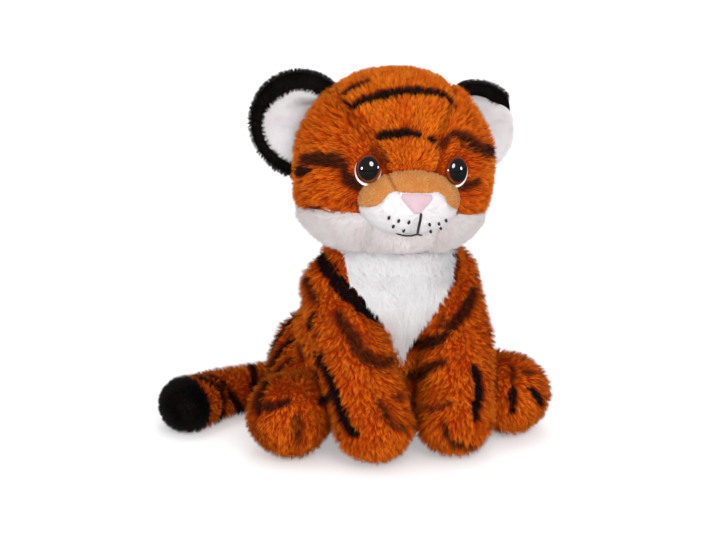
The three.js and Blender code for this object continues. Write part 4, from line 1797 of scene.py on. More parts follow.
@dataclass
class Limb:
    """A leg: a stuffed form pressed against its neighbours, in pile combed along it.

    blend holds two places, from the torso to the leg.
    """

    kind: str
    name: str
    form: StuffedForm
    neighbours: tuple[StuffedForm, ...]
    hinge: Hinge
    blend: tuple[Triple, Triple]
    coat: Coat
    seed: int
    rows: int = 50
    columns: int = 84
    lump: float = 0.9
    sole: float = 2.6

    def build(self, dresser: Dresser, rng: np.random.Generator) -> None:
        """Makes the leg.

        Args:
            dresser: turns skins into pieces.
            rng: the random draws.
        """
        grid = lumpy(self.form.grid(-PILE_DEPTH, self.rows, self.columns), self.lump, self.seed)
        flat = grid.reshape(-1, 3)
        for neighbour in self.neighbours:
            flat = neighbour.pushed_out(flat, -PILE_DEPTH + PRESSED)
        flat[:, 2] = np.maximum(flat[:, 2], self.sole)
        skin = closed_skin(flat.reshape(grid.shape))
        free = free_of(self.neighbours, self.hinge, rng)

        def along(points: Array, normals: Array) -> Array:
            """The pile lies towards the paw, and down on its front."""
            return self.form.reach(points)[2] * 0.9 + np.array([0, 0, -0.75])

        def keep(points: Array, normals: Array) -> Array:
            """Where the leg is free, also of the head."""
            return free(points, normals) & ~HEAD.inside(HEAD.into(points), -2.0)

        coat = grown(skin, self.coat, along, keep, rng)
        body = f"{self.kind}_{self.name}"
        piece = dresser.piece(f"{body}_plush", skin, coat, ORANGE, rng, self.seed)
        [tuple(c * METRES for c in end) for end in self.blend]
        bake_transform(piece)
        declare("orange_plush", (body, f"{self.kind}_stuffing_{self.name}"))


def legs() -> list[Limb]:
    """The four legs, the toy's left ones first."""
    made = []
    for side, name in SIDES:
        ends = ((side * 35.0, -21.0, 106.0), (side * 35.0, -40.0, 76.0))
        near = (TORSO, HIND[side])
        made.append(Limb("front_leg", name, FRONT[side], near, SHOULDER[side], ends, Coat(32000), 31 + side))
        ends = ((side * 44.0, 16.0, 42.0), (side * 56.0, -8.0, 42.0))
        made.append(Limb("hind_leg", name, HIND[side], (TORSO,), HIP[side], ends, Coat(29000), 41 + side))
    return made


@dataclass
class Tail:
    """The tail and its black tip."""

    rows: int = 90
    columns: int = 60
    lump: float = 0.6
    tip_length: float = 20.0
    tip_half: float = 17.5
    blend: tuple[Triple, Triple] = ((-2.0, 38.0, 15.0), (-38.0, 54.0, 15.0))
    coat: Coat = Coat(21000, upright=1.0)
    tip_coat: Coat = Coat(12000, upright=1.1)

    def in_tip(self, points: Array) -> Array:
        """Whether places belong to the tip, beyond the plane of its seam.

        Args:
            points: places in mm.

        Returns:
            One value for each place.
        """
        before, tip = TAIL.stations[-2:, :3]
        heading = unit((tip - before) * [1, 1, 0])
        return (points - (tip + heading * (self.tip_half - self.tip_length))) @ heading > 0

    def build(self, dresser: Dresser, rng: np.random.Generator) -> None:
        """Makes the tail and its tip.

        Args:
            dresser: turns skins into pieces.
            rng: the random draws.
        """
        neighbours = (TORSO, HIND[-1])
        layers = []
        for depth in (PILE_DEPTH - 1.2, PILE_DEPTH - 1.2 + FABRIC):
            grid = lumpy(TAIL.grid(-depth, self.rows, self.columns), self.lump, 51)
            flat = grid.reshape(-1, 3)
            for neighbour in neighbours:
                flat = neighbour.pushed_out(flat, -depth + PRESSED)
            flat[:, 2] = np.maximum(flat[:, 2], depth - 1)
            layers.append(flat.reshape(grid.shape))
        outer, inner = layers
        tip = self.in_tip(cell_middles(outer))
        free = free_of(neighbours, TAIL_ROOT, rng)

        def along(points: Array, normals: Array) -> Array:
            """The pile lies towards the tip."""
            return TAIL.reach(points)[2]

        keep = within(free, self.in_tip, False)
        coat = grown(panel_skin(outer, None, ~tip), self.coat, along, keep, rng)
        piece = dresser.piece("tail_plush", panel_skin(outer, inner, ~tip), coat, ORANGE, rng, 52)
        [tuple(c * METRES for c in end) for end in self.blend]
        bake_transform(piece)
        declare("orange_plush", ("tail", "tail_stuffing"))
        keep = within(free, self.in_tip, True)
        coat = grown(panel_skin(outer, None, tip), self.tip_coat, along, keep, rng)
        skin = panel_skin(outer, inner, tip)
        piece = dresser.piece("tail_tip_plush", skin, coat, BLACK, rng, 53, marked=False)
        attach(piece, "tail")
        declare("black_plush", ("tail_tip",))


class Panel(Enum):
    """The head's panels."""

    GUSSET = 0
    SHELL = 1
    CHIN = 2
    CHEEK_LEFT = 3
    CHEEK_RIGHT = 4
    NONE = 5


@dataclass
class Eye:
    """A domed eye on its felt leaf, in a frame on the face.

    dome_foot and leaf_edge are profiles: dome_foot as shares of the stem's radius and heights in mm, from the
    stem to the dome; leaf_edge as shares of the leaf's half sizes and depths below its top.
    """

    half_width: float = 8.0
    half_height: float = 9.2
    dome: float = 5.5
    spread: float = 0.446 * 65
    rise: float = 8.0
    sink: float = 2.0
    stem: float = 2.0
    stem_length: float = 8.0
    pupil_shift: float = 0.8
    felt_top: float = -0.3
    felt_thick: float = 1.0
    felt_over: float = 0.35
    felt_drop: float = 1.3
    felt_hole: float = 2.3
    felt_shifts: tuple[float, float] = (1.4, 0.3)
    behind: float = -12.0
    columns: int = 96

    def felt_shift(self, side: int) -> float:
        """How far the felt sits outwards of the eye, in mm: more on the toy's left, as in the photograph."""
        return self.felt_shifts[0 if side > 0 else 1]

    def seat(self, side: int) -> tuple[Array, Array]:
        """The eye's place and axes in the head's frame."""
        return HEAD.face_seat(side * self.spread, self.rise, self.sink)

    def local(self, points: Array, side: int) -> Array:
        """Places in the toy's frame, taken to the eye's: across, outward and upright."""
        at, axes = self.seat(side)
        return (HEAD.into(points) - at) @ axes.T

    def out(self, local: Array, side: int) -> Array:
        """Places in the eye's frame, taken to the toy's."""
        at, axes = self.seat(side)
        return HEAD.out(local @ axes + at)

    def gap(self, points: Array, side: int) -> Array:
        """How far places lie outside the eye's outline, in mm, seen from the front.

        Args:
            points: places in mm, one row each.
            side: 1 for the toy's left, -1 for its right.

        Returns:
            One distance for each place, far off behind the face.
        """
        local = self.local(points, side)
        across, up = local[:, 0] / self.half_width, local[:, 2] / self.half_height
        value = (np.sqrt(across**2 + up**2) - 1) * self.half_width
        return np.where(local[:, 1] > self.behind, value, FAR)

    def hole(self, points: Array, side: int) -> Array:
        """Whether places lie where the eye's stem goes through the fabric."""
        local = self.local(points, side)
        return (np.hypot(local[:, 0], local[:, 2]) < self.felt_hole + 0.3) & (local[:, 1] > self.behind)

    def covers(self, points: Array, side: int) -> Array:
        """Whether places lie under the felt leaf.

        Args:
            points: places in mm, one row each.
            side: 1 for the toy's left, -1 for its right.

        Returns:
            One value for each place.
        """
        local = self.local(points, side)
        across = (local[:, 0] + side * self.felt_shift(side)) / (self.half_width - 0.1)
        up = (local[:, 2] + self.felt_drop) / (self.half_height - 0.1)
        return (across**2 + up**2 < 1) & (local[:, 1] > self.behind)

    def lathe(
        self, profile: Array, side: int, shift: tuple[float, float], halves: tuple[float, float]
    ) -> Array:
        """Rings round the outward axis.

        Args:
            profile: a share of the halves and a height for each ring.
            side: 1 for the toy's left eye, -1 for its right.
            shift: how far the rings' middle is moved across and up.
            halves: the half width and half height of a whole ring.

        Returns:
            The grid, in the toy's frame.
        """
        angle = turns(self.columns)
        x = profile[:, :1] * halves[0] * np.cos(angle) + shift[0]
        z = -profile[:, :1] * halves[1] * np.sin(angle) + shift[1]
        y = np.broadcast_to(profile[:, 1:2], x.shape)
        return self.out(np.stack([x, y, z], axis=-1).reshape(-1, 3), side).reshape(*x.shape, 3)

    def build(self, dresser: Dresser, side: int, name: str) -> None:
        """Makes the dome with its stem, and the felt leaf.

        Args:
            dresser: turns skins into pieces.
            side: 1 for the toy's left, -1 for its right.
            name: the side's name.
        """
        arc = np.linspace(0, np.pi / 2, 26)
        dome = np.stack([np.cos(arc), np.sin(arc) * self.dome], axis=-1)
        stem = self.stem / self.half_width
        foot = [(0, -self.stem_length), (stem, -self.stem_length), (stem, -0.15), (stem * 1.4, 0.0)]
        profile = np.vstack([foot, [(0.97, 0.0), (0.995, 0.15)], dome])
        skin = closed_skin(self.lathe(profile, side, (0, 0), (self.half_width, self.half_height)))
        local = self.local(skin.points, side)
        across = (local[:, 0] - side * self.pupil_shift) / self.half_width
        up = (local[:, 2] - self.pupil_shift) / self.half_height
        radial = np.clip(np.linalg.norm(np.stack([across, up]), axis=0), 0, 1)
        piece = object_of(f"eye_dome_{name}", skin, {"radial": radial}, dresser.material(EyeFinish()))
        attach(piece, "head")
        declare("eye_plastic", (f"eye_{name}",))
        top, low = self.felt_top, self.felt_top - self.felt_thick
        hole = self.felt_hole / (self.half_width + self.felt_over)
        ring = [(hole, top), (0.6, top), (0.96, top), (0.99, top - 0.2), (1, top - 0.5)]
        ring += [(0.99, low + 0.2), (0.96, low), (0.6, low), (hole, low), (hole, top)]
        halves = (self.half_width + self.felt_over, self.half_height + self.felt_over)
        shift = (-side * self.felt_shift(side), -self.felt_drop)
        skin = closed_skin(self.lathe(np.array(ring)[::-1], side, shift, halves))
        piece = object_of(f"eye_leaf_{name}", skin, {}, dresser.material(FELT))
        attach(piece, "head")
        declare("felt", (f"eye_felt_{name}",))


EYE = Eye()


@dataclass
class Face:
    """The head's five plush panels, the muzzle, the bridge, the nose, the stitching and the eyes."""

    rows: int = 110
    columns: int = 180
    lump: float = 0.7
    gusset_low: float = 6.0
    gusset_back: float = 8.0
    gusset_heights: tuple[float, ...] = (6, 28, 46, 120)
    gusset_halves: tuple[float, ...] = (16, 22, 40, 40)
    cheek_drop: float = 31.5
    cheek_rake: float = 0.22
    cheek_back: float = 14.0
    chin_half: float = 21.0
    chin_middle: Triple = (0.0, -48.0, -40.0)
    chin_reach: Triple = (15.0, 15.0, 8.0)
    chin_out: float = 7.0
    neck_radius: float = 20.0
    neck_top: float = -40.0
    seam_depth: float = 4.2
    seam_width: float = 2.8
    muzzle_focus: Triple = (0.0, -62.0, -6.0)
    coats: dict[Panel, Coat] = field(
        default_factory=lambda: {
            Panel.GUSSET: Coat(21000, length=5.3, upright=0.7, jitter=0.17, gather=0.42),
            Panel.SHELL: Coat(37000, length=5.5, jitter=0.19, gather=0.52),
            Panel.CHIN: Coat(9000, length=5.0, relief=0.3),
            Panel.CHEEK_LEFT: Coat(12000, length=6.5, relief=0.3),
            Panel.CHEEK_RIGHT: Coat(12000, length=6.5, relief=0.3),
        }
    )

    def gusset_half(self, z: Array) -> Array:
        """The forehead gusset's half width at a height."""
        return np.interp(z, self.gusset_heights, self.gusset_halves)

    def over_jowl(self, local: Array) -> Array:
        """How far places in the head's frame are above the jowls' seam, which falls towards the back."""
        return local[..., 2] + self.cheek_rake * local[..., 1] + self.cheek_drop

    def panel_at(self, local: Array) -> Array:
        """Which panel places in the head's frame belong to, as the Enum's numbers.

        Args:
            local: places in the head's frame.

        Returns:
            One number for each place.
        """
        x, y, z = local[..., 0], local[..., 1], local[..., 2]
        gusset = (y < self.gusset_back) & (z > self.gusset_low) & (np.abs(x) < self.gusset_half(z))
        lower = (z + self.cheek_rake * y < -self.cheek_drop) & (y < self.cheek_back)
        chin = lower & (np.abs(x) < self.chin_half) & (y < 0)
        panel = np.where(gusset, Panel.GUSSET.value, Panel.SHELL.value)
        panel = np.where(lower, np.where(x > 0, Panel.CHEEK_LEFT.value, Panel.CHEEK_RIGHT.value), panel)
        panel = np.where(chin, Panel.CHIN.value, panel)
        neck = (z < self.neck_top) & (np.hypot(x, y - 5) < self.neck_radius)
        hidden = (SNOUT.reach(local, -4.0) < 1) | neck
        return np.where(hidden, Panel.NONE.value, panel)

    def seam_gap(self, local: Array, soft: float = 1.4) -> Array:
        """How far places are from the nearest seam, in mm.

        Args:
            local: places in the head's frame.
            soft: how much further off the jowls' seam counts, and 1.4 times as much for the chin's.

        Returns:
            One distance for each place.
        """
        x, y, z = local[..., 0], local[..., 1], local[..., 2]
        skew = np.interp(z, [6, 20, 28, 40], [0, 3.4, 6, 8])
        over_gusset = (y < self.gusset_back + 3) & (z > self.gusset_low - 2)
        gusset = np.where(over_gusset, np.abs(np.abs(x + skew) - self.gusset_half(z)), FAR)
        jowl = np.where(y < self.cheek_back, np.abs(self.over_jowl(local)), FAR)
        below = (y < 0) & (z < -self.cheek_drop - self.cheek_rake * y)
        chin = np.where(below, np.abs(np.abs(x) - self.chin_half), FAR)
        return np.minimum(np.minimum(gusset, jowl + soft), chin + 1.4 * soft)

    def chin_bulge(self, local: Array) -> Array:
        """How far the chin stands out under the muzzle, in mm: a soft bump on the front of the throat."""
        rel = (local - self.chin_middle) / self.chin_reach
        return self.chin_out * np.exp(-((rel**2).sum(axis=-1)))

    def grids(self) -> list[Array]:
        """The fabric's outside and inside in the head's frame, with lumps, the chin and the seams' dips."""
        layers = []
        for depth in (PILE_DEPTH, PILE_DEPTH + FABRIC):
            bare = HEAD.local_grid(-depth, self.rows, self.columns)
            grid = lumpy(bare, self.lump, 61)
            dip = self.seam_depth * bell(self.seam_gap(grid), self.seam_width)
            layers.append(grid + outward(bare) * (self.chin_bulge(grid) - dip)[..., None])
        return layers

    def comb(self, points: Array, normals: Array) -> Array:
        """The pile lies away from the muzzle, and downwards on the back and over the jowls' seam.

        Args:
            points: places in mm, one row each.
            normals: their normals.

        Returns:
            One direction for each place.
        """
        away = unit(points - HEAD.out(np.array([self.muzzle_focus]))[0])
        back = smooth(-30.0, 20.0, points[:, 1])[:, None]
        local = HEAD.into(points)
        hang = (bell(self.over_jowl(local) - 2.0, 5.0) * (local[:, 1] < self.cheek_back + 5))[:, None]
        return away + np.array([0, 0, -1.0]) * (0.25 + 0.9 * back + 0.9 * hang)

    def shorten(self, points: Array) -> Array:
        """The pile is shorter round the eyes, on the seams and where the muzzle meets the face.

        Args:
            points: places in mm, one row each.

        Returns:
            A share of the full length for each place.
        """
        near = np.minimum(EYE.gap(points, 1), EYE.gap(points, -1))
        snout = (SNOUT.reach(HEAD.into(points)) - 1) * 25
        seam = 1 - 0.65 * bell(self.seam_gap(HEAD.into(points), 5.0), 2.6)
        return seam * np.clip(0.34 + near / 13, 0.34, 1) * np.clip(0.5 + snout / 12, 0.5, 1)

    def keep_in(self, which: Panel) -> Field:
        """The test for where a panel's pile grows.

        Args:
            which: the panel.

        Returns:
            A test of places and normals.
        """

        def keep(points: Array, normals: Array) -> Array:
            """Inside the panel, outside the muzzle, the eyes' felt and the torso.

            Args:
                points: places in mm, one row each.
                normals: their normals.

            Returns:
                One value for each place.
            """
            local = HEAD.into(points)
            good = (self.panel_at(local) == which.value) & (SNOUT.reach(local, -0.5) > 1)
            for side, _ in SIDES:
                good &= ~EYE.covers(points, side)
            return good & (TORSO.reach(points, -PILE_DEPTH - 3)[0] > 1)

        return keep

    def build(self, dresser: Dresser, rng: np.random.Generator) -> None:
        """Makes the head's pieces.

        Args:
            dresser: turns skins into pieces.
            rng: the random draws.
        """
        local_outer, local_inner = self.grids()
        middle = cell_middles(local_outer)
        panel = self.panel_at(middle)
        world_middle = HEAD.out(middle.reshape(-1, 3))
        for side, _ in SIDES:
            panel = np.where(EYE.hole(world_middle, side).reshape(panel.shape), Panel.NONE.value, panel)
        outer, inner = by_rows(HEAD.out, local_outer), by_rows(HEAD.out, local_inner)
        names = {
            Panel.GUSSET: ("forehead_gusset", ORANGE, "orange_plush", ("forehead_gusset",)),
            Panel.SHELL: ("head_sides", ORANGE, "orange_plush", ("head_shell", "head_stuffing")),
            Panel.CHIN: ("chin", WHITE_PAINTED_SHADE, "white_plush", ("chin",)),
            Panel.CHEEK_LEFT: ("cheek_left", WHITE_PAINTED_SHADE, "white_plush", ("cheek_left",)),
            Panel.CHEEK_RIGHT: ("cheek_right", WHITE_PAINTED_SHADE, "white_plush", ("cheek_right",)),
        }
        for which, (name, finish, slot, replaced) in names.items():
            mask = panel == which.value
            front = panel_skin(outer, None, mask)
            coat = grown(front, self.coats[which], self.comb, self.keep_in(which), rng, self.shorten)
            # Painted shade: strands near the seams are darkened through their tone, for the shade in the
            # seams' creases
            painted_seam_shade = bell(self.seam_gap(HEAD.into(coat.points[:, 0]), 5.0), 1.8)
            coat.tone = coat.tone - 0.8 * painted_seam_shade[:, None]
            skin = panel_skin(outer, inner, mask)
            piece = dresser.piece(f"{name}_plush", skin, coat, finish, rng, 62, marked=finish is ORANGE)
            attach(piece, "head")
            declare(slot, replaced)
        Muzzle().build(dresser, rng)
        NOSE.build(dresser)
        Stitching().build(dresser)
        for side, name in SIDES:
            EYE.build(dresser, side, name)


@dataclass
class Muzzle:
    """The shorn muzzle and the tan bridge on top of it, with the dart in the bridge and the lip's cleft.

    bridge_steps and bridge_heights give the height of the bridge's lower edge at distances from the middle,
    dart the dart's x, z pairs, all in the head's frame.
    """

    rows: int = 120
    columns: int = 220
    depths: tuple[float, float] = (0.9, 2.2)
    bridge_steps: tuple[float, ...] = (0, 14.5, 18, 20.5, 24, 31, 37.5)
    bridge_heights: tuple[float, ...] = (-2.7, -2.7, -5.5, -9.5, -13.3, -17, -22)
    seam_depth: float = 0.9
    seam_width: float = 1.5
    dart: Line = ((-16.0, 8.0), (-15.5, 3.5), (-13.6, 0.2), (-11.8, -2.7))
    dart_depth: float = 1.9
    dart_width: float = 0.9
    lip_depth: float = 1.3
    lip_width: float = 3.2
    focus: Triple = (0.0, -70.0, -6.0)
    coat: Coat = replace(SHORN, count=14000)
    bridge_coat: Coat = SHORN

    def above_seam(self, local: Array) -> Array:
        """How far places are above the bridge's lower edge, which drops in a step beside the nose."""
        return local[..., 2] - np.interp(np.abs(local[..., 0]), self.bridge_steps, self.bridge_heights)

    def dart_gap(self, local: Array) -> Array:
        """How far places are, seen from the front, from the dart in the right of the bridge, in mm.

        Args:
            local: places in the head's frame.

        Returns:
            One distance for each place.
        """
        line = catmull(np.array(self.dart), np.linspace(0, 1, 24))
        gap = np.linalg.norm(local[..., None, [0, 2]] - line, axis=-1).min(axis=-1)
        return np.where(local[..., 1] < -SNOUT.forward, gap, FAR)

    def comb(self, points: Array, normals: Array) -> Array:
        """The pile lies away from a place in front of the nose."""
        return unit(points - HEAD.out(np.array([self.focus]))[0])

    def grids(self) -> list[Array]:
        """The fabric's outside and inside: the ellipsoid with the seams' grooves, pushed out of the head."""
        layers = []
        for depth in self.depths:
            grid = SNOUT.grid(-depth, self.rows, self.columns)
            groove = self.seam_depth * bell(self.above_seam(grid), self.seam_width)
            groove = np.maximum(groove, self.dart_depth * bell(self.dart_gap(grid), self.dart_width))
            lip = self.lip_depth * bell(grid[..., 0], self.lip_width) * smooth(-12.0, -26.0, grid[..., 2])
            grid = grid - outward(grid) * (groove + lip)[..., None]
            layers.append(by_rows(sewn_on, by_rows(HEAD.out, grid)))
        return layers

    def build(self, dresser: Dresser, rng: np.random.Generator) -> None:
        """Makes the muzzle and the bridge.

        Args:
            dresser: turns skins into pieces.
            rng: the random draws.
        """
        outer, inner = self.grids()
        middle = by_rows(HEAD.into, cell_middles(outer))
        bridge = self.above_seam(middle) > 0
        proud = ~HEAD.inside(middle.reshape(-1, 3), -PILE_DEPTH + SEWN + 0.05).reshape(bridge.shape)
        for name, mask, coat, finish, slot, want in (
            ("muzzle", ~bridge & proud, self.coat, SHORN_WHITE, "smooth_pile", False),
            ("nose_bridge", bridge & proud, self.bridge_coat, SHORN_TAN, "tan_pile", True),
        ):

            def keep(points: Array, normals: Array) -> Array:
                """On this piece, and clear of the nose and the dart.

                Args:
                    points: places in mm, one row each.
                    normals: their normals.

                Returns:
                    One value for each place.
                """
                local = HEAD.into(points)
                here = (self.above_seam(local) > 0) == want
                return here & ~NOSE.covers(local) & (self.dart_gap(local) > 0.5)

            strands = grown(panel_skin(outer, None, mask), coat, self.comb, keep, rng)
            # Painted shade: strands along the dart are darkened through their tone, and keep leaves the dart
            # bare so the backing's dark root colour shows as shade in its crease
            painted_dart_shade = bell(self.dart_gap(HEAD.into(strands.points[:, 0])), 0.8)
            strands.tone = strands.tone - 3 * painted_dart_shade[:, None]
            skin = panel_skin(outer, inner, mask)
            piece = dresser.piece(f"{name}_velour", skin, strands, finish, rng, 63, marked=False)
            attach(piece, "head")
            declare(slot, (name,))


@dataclass
class Nose:
    """The padded nose: a triangle with soft corners, point down, crowned over the muzzle.

    foot is the lowest place of its outline and corners are those of its right half, as x, z pairs in the
    head's frame. back, edge and crown are the heights of its back, its edge and its middle over the muzzle.
    """

    half_width: float = 10.5
    top: float = -3.0
    tall: float = 12.0
    middle: tuple[float, float] = (0.0, -7.6)
    foot: tuple[float, float] = (0.0, -15.2)
    corners: Line = ((2.2, -14.6), (6.0, -10.6), (9.6, -6.4), (9.9, -4.4), (8.2, -3.2), (0.0, -3.0))
    back: float = 0.15
    edge: float = 0.25
    crown: float = 1.9
    sink: float = 0.6

    def outline(self, count: int = 120) -> Array:
        """The outline as x, z pairs: a smooth closed curve through the corners and their mirror images.

        Args:
            count: how many places it has.

        Returns:
            One pair for each.
        """
        left = [(-x, z) for x, z in self.corners[-2::-1]]
        points = np.array([self.foot, *self.corners, *left, self.foot])
        return catmull(points, np.linspace(0, 1, count + 1))[:-1]

    def covers(self, local: Array) -> Array:
        """Whether places in the head's frame lie under the nose.

        Args:
            local: places in the head's frame.

        Returns:
            One value for each place.
        """
        x, z = np.abs(local[..., 0]), local[..., 2]
        share = np.clip((self.top - z) / self.tall, 0, 1)
        level = (z < self.top + 0.3) & (z > self.top - self.tall)
        return level & (x < self.half_width * (1.02 - share * 0.9))

    def build(self, dresser: Dresser) -> None:
        """Makes the pad: rings from the back's middle over the outline to the crown.

        Args:
            dresser: turns skins into pieces.
        """
        arc = np.linspace(0, np.pi / 2, 14)
        shares = np.concatenate([[0.0, 0.5, 0.9], np.cos(arc[:-1]) ** 0.8, [0.0]])
        heights = np.concatenate([np.full(3, self.back), self.edge + (self.crown - self.edge) * np.sin(arc)])
        middle = np.array(self.middle)
        spot = middle + (self.outline() - middle) * shares[:, None, None]
        grid = SNOUT.front(spot[..., 0], spot[..., 1], heights[:, None] - self.sink)
        skin = closed_skin(by_rows(HEAD.out, grid))
        piece = object_of("nose_pad", skin, {}, dresser.material(TRICOT))
        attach(piece, "head")
        declare("nose_fabric", ("nose",))


NOSE = Nose()


def tube(path: Array, radius: Array, sides: int = 8) -> Skin:
    """A closed tube along a path, its rings square to the path.

    Args:
        path: places in mm, one row each.
        radius: one for each place, 0 at both ends.
        sides: how many sides the tube has.

    Returns:
        The surface.
    """
    ahead = unit(np.gradient(path, axis=0))
    first = unit(np.cross(ahead, np.array([0.31, 0.2, 0.93])))
    second = np.cross(ahead, first)
    angle = turns(sides)[:, None]
    ring = first[:, None] * np.cos(angle) + second[:, None] * np.sin(angle)
    return closed_skin(path[:, None] + ring * radius[:, None, None])


@dataclass
class Stitching:
    """The black thread on the muzzle: the line under the nose, the mouth and the whisker dots.

    Lines and dots are in pixels of the photograph, halves and lengths in mm. middle is the pixel column
    towards which the dots lean.
    """

    philtrum: Line = ((421.3, 213.0), (420.3, 220.0), (418.6, 228.0), (417.4, 234.6))
    philtrum_half: float = 0.85
    mouth: Line = (
        (395.5, 233.5), (404.0, 235.6), (411.0, 235.8), (417.4, 234.6), (424.0, 235.4), (434.0, 232.8),
    )
    mouth_half: float = 0.55
    dots: Line = (
        (388.9, 217.9), (398.8, 221.0), (408.9, 222.5), (393.3, 226.6), (403.7, 230.8),
        (429.6, 224.6), (446.0, 220.5), (438.9, 223.7), (440.6, 228.1), (430.6, 231.4),
    )
    dot_half: float = 0.95
    dot_length: float = 1.4
    middle: float = 418.0

    def build(self, dresser: Dresser) -> None:
        """Lays each stitch on the muzzle where the photograph's line of sight meets it.

        Args:
            dresser: turns skins into pieces.
        """
        tree = tree_of(by_rows(HEAD.out, SNOUT.grid(0.1, 60, 96)))
        parts = []
        for line, half in ((self.philtrum, self.philtrum_half), (self.mouth, self.mouth_half)):
            path = sighted(tree, catmull(np.array(line), np.linspace(0, 1, 40)))
            taper = np.sqrt(np.clip(np.sin(np.linspace(0, np.pi, 40)) * 4, 0, 1)) * half
            taper[[0, -1]] = 0
            parts.append(tube(path, taper))
        right, up, _ = VIEW.axes()
        along = np.linspace(-1, 1, 12)
        for (x, _), at in zip(self.dots, sighted(tree, np.array(self.dots))):
            lean = unit(up * 0.9 + right * (0.35 if x < self.middle else -0.35))
            path = at + along[:, None] * lean * self.dot_length
            parts.append(tube(path, self.dot_half * np.sqrt(np.clip(1 - along**2, 0, 1))))
        piece = object_of("muzzle_stitching", reduce(Skin.joined, parts), {}, dresser.material(THREAD))
        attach(piece, "head")


@dataclass
class Ear:
    """A dished ear: black pile behind and round the rim, a smooth white lining let into its front.

    The two ears differ as in the photograph. foot_turns and fold_heights hold the left one's value first: at
    which turn its outer foot lies, and how high the fold in its dish runs.
    """

    side: int
    name: str
    radius: float = 32.5
    wall: float = 6.0
    dish: float = 9.0
    rim: float = 9.0
    spread: float = 56.5
    rise: float = 16.0
    back: float = 26.0
    turn_degrees: float = 18.0
    stretch: float = 1.05
    lining: float = 2.5
    edge: float = 1.0
    crease: float = 3.5
    valley: float = 4.6
    valley_width: float = 4.0
    foot_turns: tuple[float, float] = (124.0, 50.0)
    fold_heights: tuple[float, float] = (3.0, 9.0)
    columns: int = 120
    rows: int = 70
    lining_rows: int = 60
    coat: Coat = Coat(21000, length=4.2, thick=0.22)
    shorn: Coat = replace(SHORN, length=1.4, jitter=0.2)
    middle: Array = field(init=False)
    axes: Array = field(init=False)

    def __post_init__(self) -> None:
        """Works out the ear's middle and its axes, across, facing and up, in the head's frame."""
        turn = np.radians(self.turn_degrees)
        facing = np.array([self.side * np.sin(turn), -np.cos(turn), 0])
        up = np.array([0, 0, 1.0])
        self.middle = np.array([self.side * self.spread, self.back, self.rise])
        self.axes = np.stack([np.cross(facing, up), facing, up])

    def own(self, pair: tuple[float, float]) -> float:
        """This ear's value of a pair that holds the left one's first."""
        return pair[0 if self.side > 0 else 1]

    def outer_foot(self, turn: Array) -> Array:
        """How near an angle is to the ear's outer foot: 1 there and -1 opposite."""
        return np.cos(turn - np.radians(self.own(self.foot_turns)))

    def bare(self, turn: Array) -> Array:
        """Where the lining makes the ear's edge, 0 to 1: at the outer foot of the toy's left ear."""
        return smooth(-0.2, 0.5, self.outer_foot(turn)) * (self.side > 0)

    def lined_to(self, turn: Array) -> Array:
        """How far out the lining reaches, in mm, at an angle about the facing axis.

        It stops short at the top, where the back's pile rolls over the rim, and reaches further at the
        outer foot of the ear, most on the toy's left.

        Args:
            turn: the angles, in radians.

        Returns:
            One distance for each angle.
        """
        away = self.bare(turn) if self.side > 0 else 0.35 * smooth(-0.2, 1.0, self.outer_foot(turn))
        top = smooth(0.2, 1.0, np.cos(turn + np.radians(80)))
        return self.radius - self.rim + (self.rim - self.edge) * away - 2.2 * top

    def dish_at(self, radius: Array) -> Array:
        """The dish's level at a radius: a parabola, deepest in the middle."""
        return self.dish * ((radius / self.radius) ** 2 - 1)

    def lathe(self, radius: Array, level: Array) -> Array:
        """Rings round the facing axis, bent by the crease at the ear's foot and the folds in its dish.

        Args:
            radius: how far out each row and column lies, in mm.
            level: how far forward each lies.

        Returns:
            The grid, in the toy's frame.
        """
        angle = turns(self.columns)
        x = radius * np.cos(angle)
        z = -radius * np.sin(angle) * self.stretch
        fold = self.crease * bell(x + self.side * 3.0, 6.5) * smooth(4.0, -24.0, z)
        front = 0.5 + 0.5 * smooth(-4.5, -2.5, level - self.dish_at(radius))
        inner = smooth(-12.0, 6.0, self.side * x) * front
        above = z - self.own(self.fold_heights)
        fold = fold - self.valley * bell(above, self.valley_width) * inner
        fold = fold + 0.4 * self.valley * bell(above - 8.0, self.valley_width) * inner
        if self.side > 0:
            x = x * (1 + 0.14 * smooth(6.0, -22.0, z) * smooth(0.0, -14.0, x))
            z = z * (1 - 0.13 * smooth(4.0, 30.0, z))
        local = np.stack([x, level + fold, z], axis=-1)
        return HEAD.out(local.reshape(-1, 3) @ self.axes + self.middle).reshape(local.shape)

    def rings(self, profile: list[tuple[Array | float, Array | float]], rows: int) -> Array:
        """The grid along a smooth curve through a profile, pushed out of the head.

        Args:
            profile: pairs of radius and level, each a number or one value for each column.
            rows: how many rings the grid has.

        Returns:
            The grid, in the toy's frame.
        """
        pairs = [[np.broadcast_to(value, (self.columns,)) for value in pair] for pair in profile]
        whole = np.array(pairs, float).reshape(len(profile), -1)
        even = catmull(whole, np.linspace(0, 1, rows)).reshape(rows, 2, self.columns)
        even[[0, -1], 0] = 0
        grid = self.lathe(even[:, 0], even[:, 1])
        return by_rows(sewn_on, grid)

    def back_profile(self) -> list[tuple[Array | float, Array | float]]:
        """The profile from the back's middle over the rim to the floor of the lining's recess."""
        angle = turns(self.columns)
        reach, bare = self.lined_to(angle), self.bare(angle)
        r, sunk = self.radius - 1.3 * bare, 1.4 * bare
        behind = [(s * r, self.dish_at(s * r) - self.wall + 1.4) for s in (0, 0.2, 0.4, 0.6, 0.78, 0.9)]
        over = (r - 1.3) * 0.5 + reach * 0.5
        edge = [(r - 1.6, -self.wall * 0.62), (r - 0.9, -self.wall * 0.4 - sunk)]
        edge += [(r - 1.3, -self.wall * 0.16 - sunk), (over - sunk, self.dish_at(over) - 0.7 - sunk)]
        floor = [(reach + 0.1 - 1.5 * sunk, self.dish_at(reach) - 0.7 - sunk)]
        floor += [(reach - 0.3 - 1.5 * sunk, self.dish_at(reach) - 2.0 - sunk)]
        floor += [(s * reach, self.dish_at(s * reach) - self.lining) for s in (0.8, 0.5, 0.25, 0)]
        return behind + edge + floor

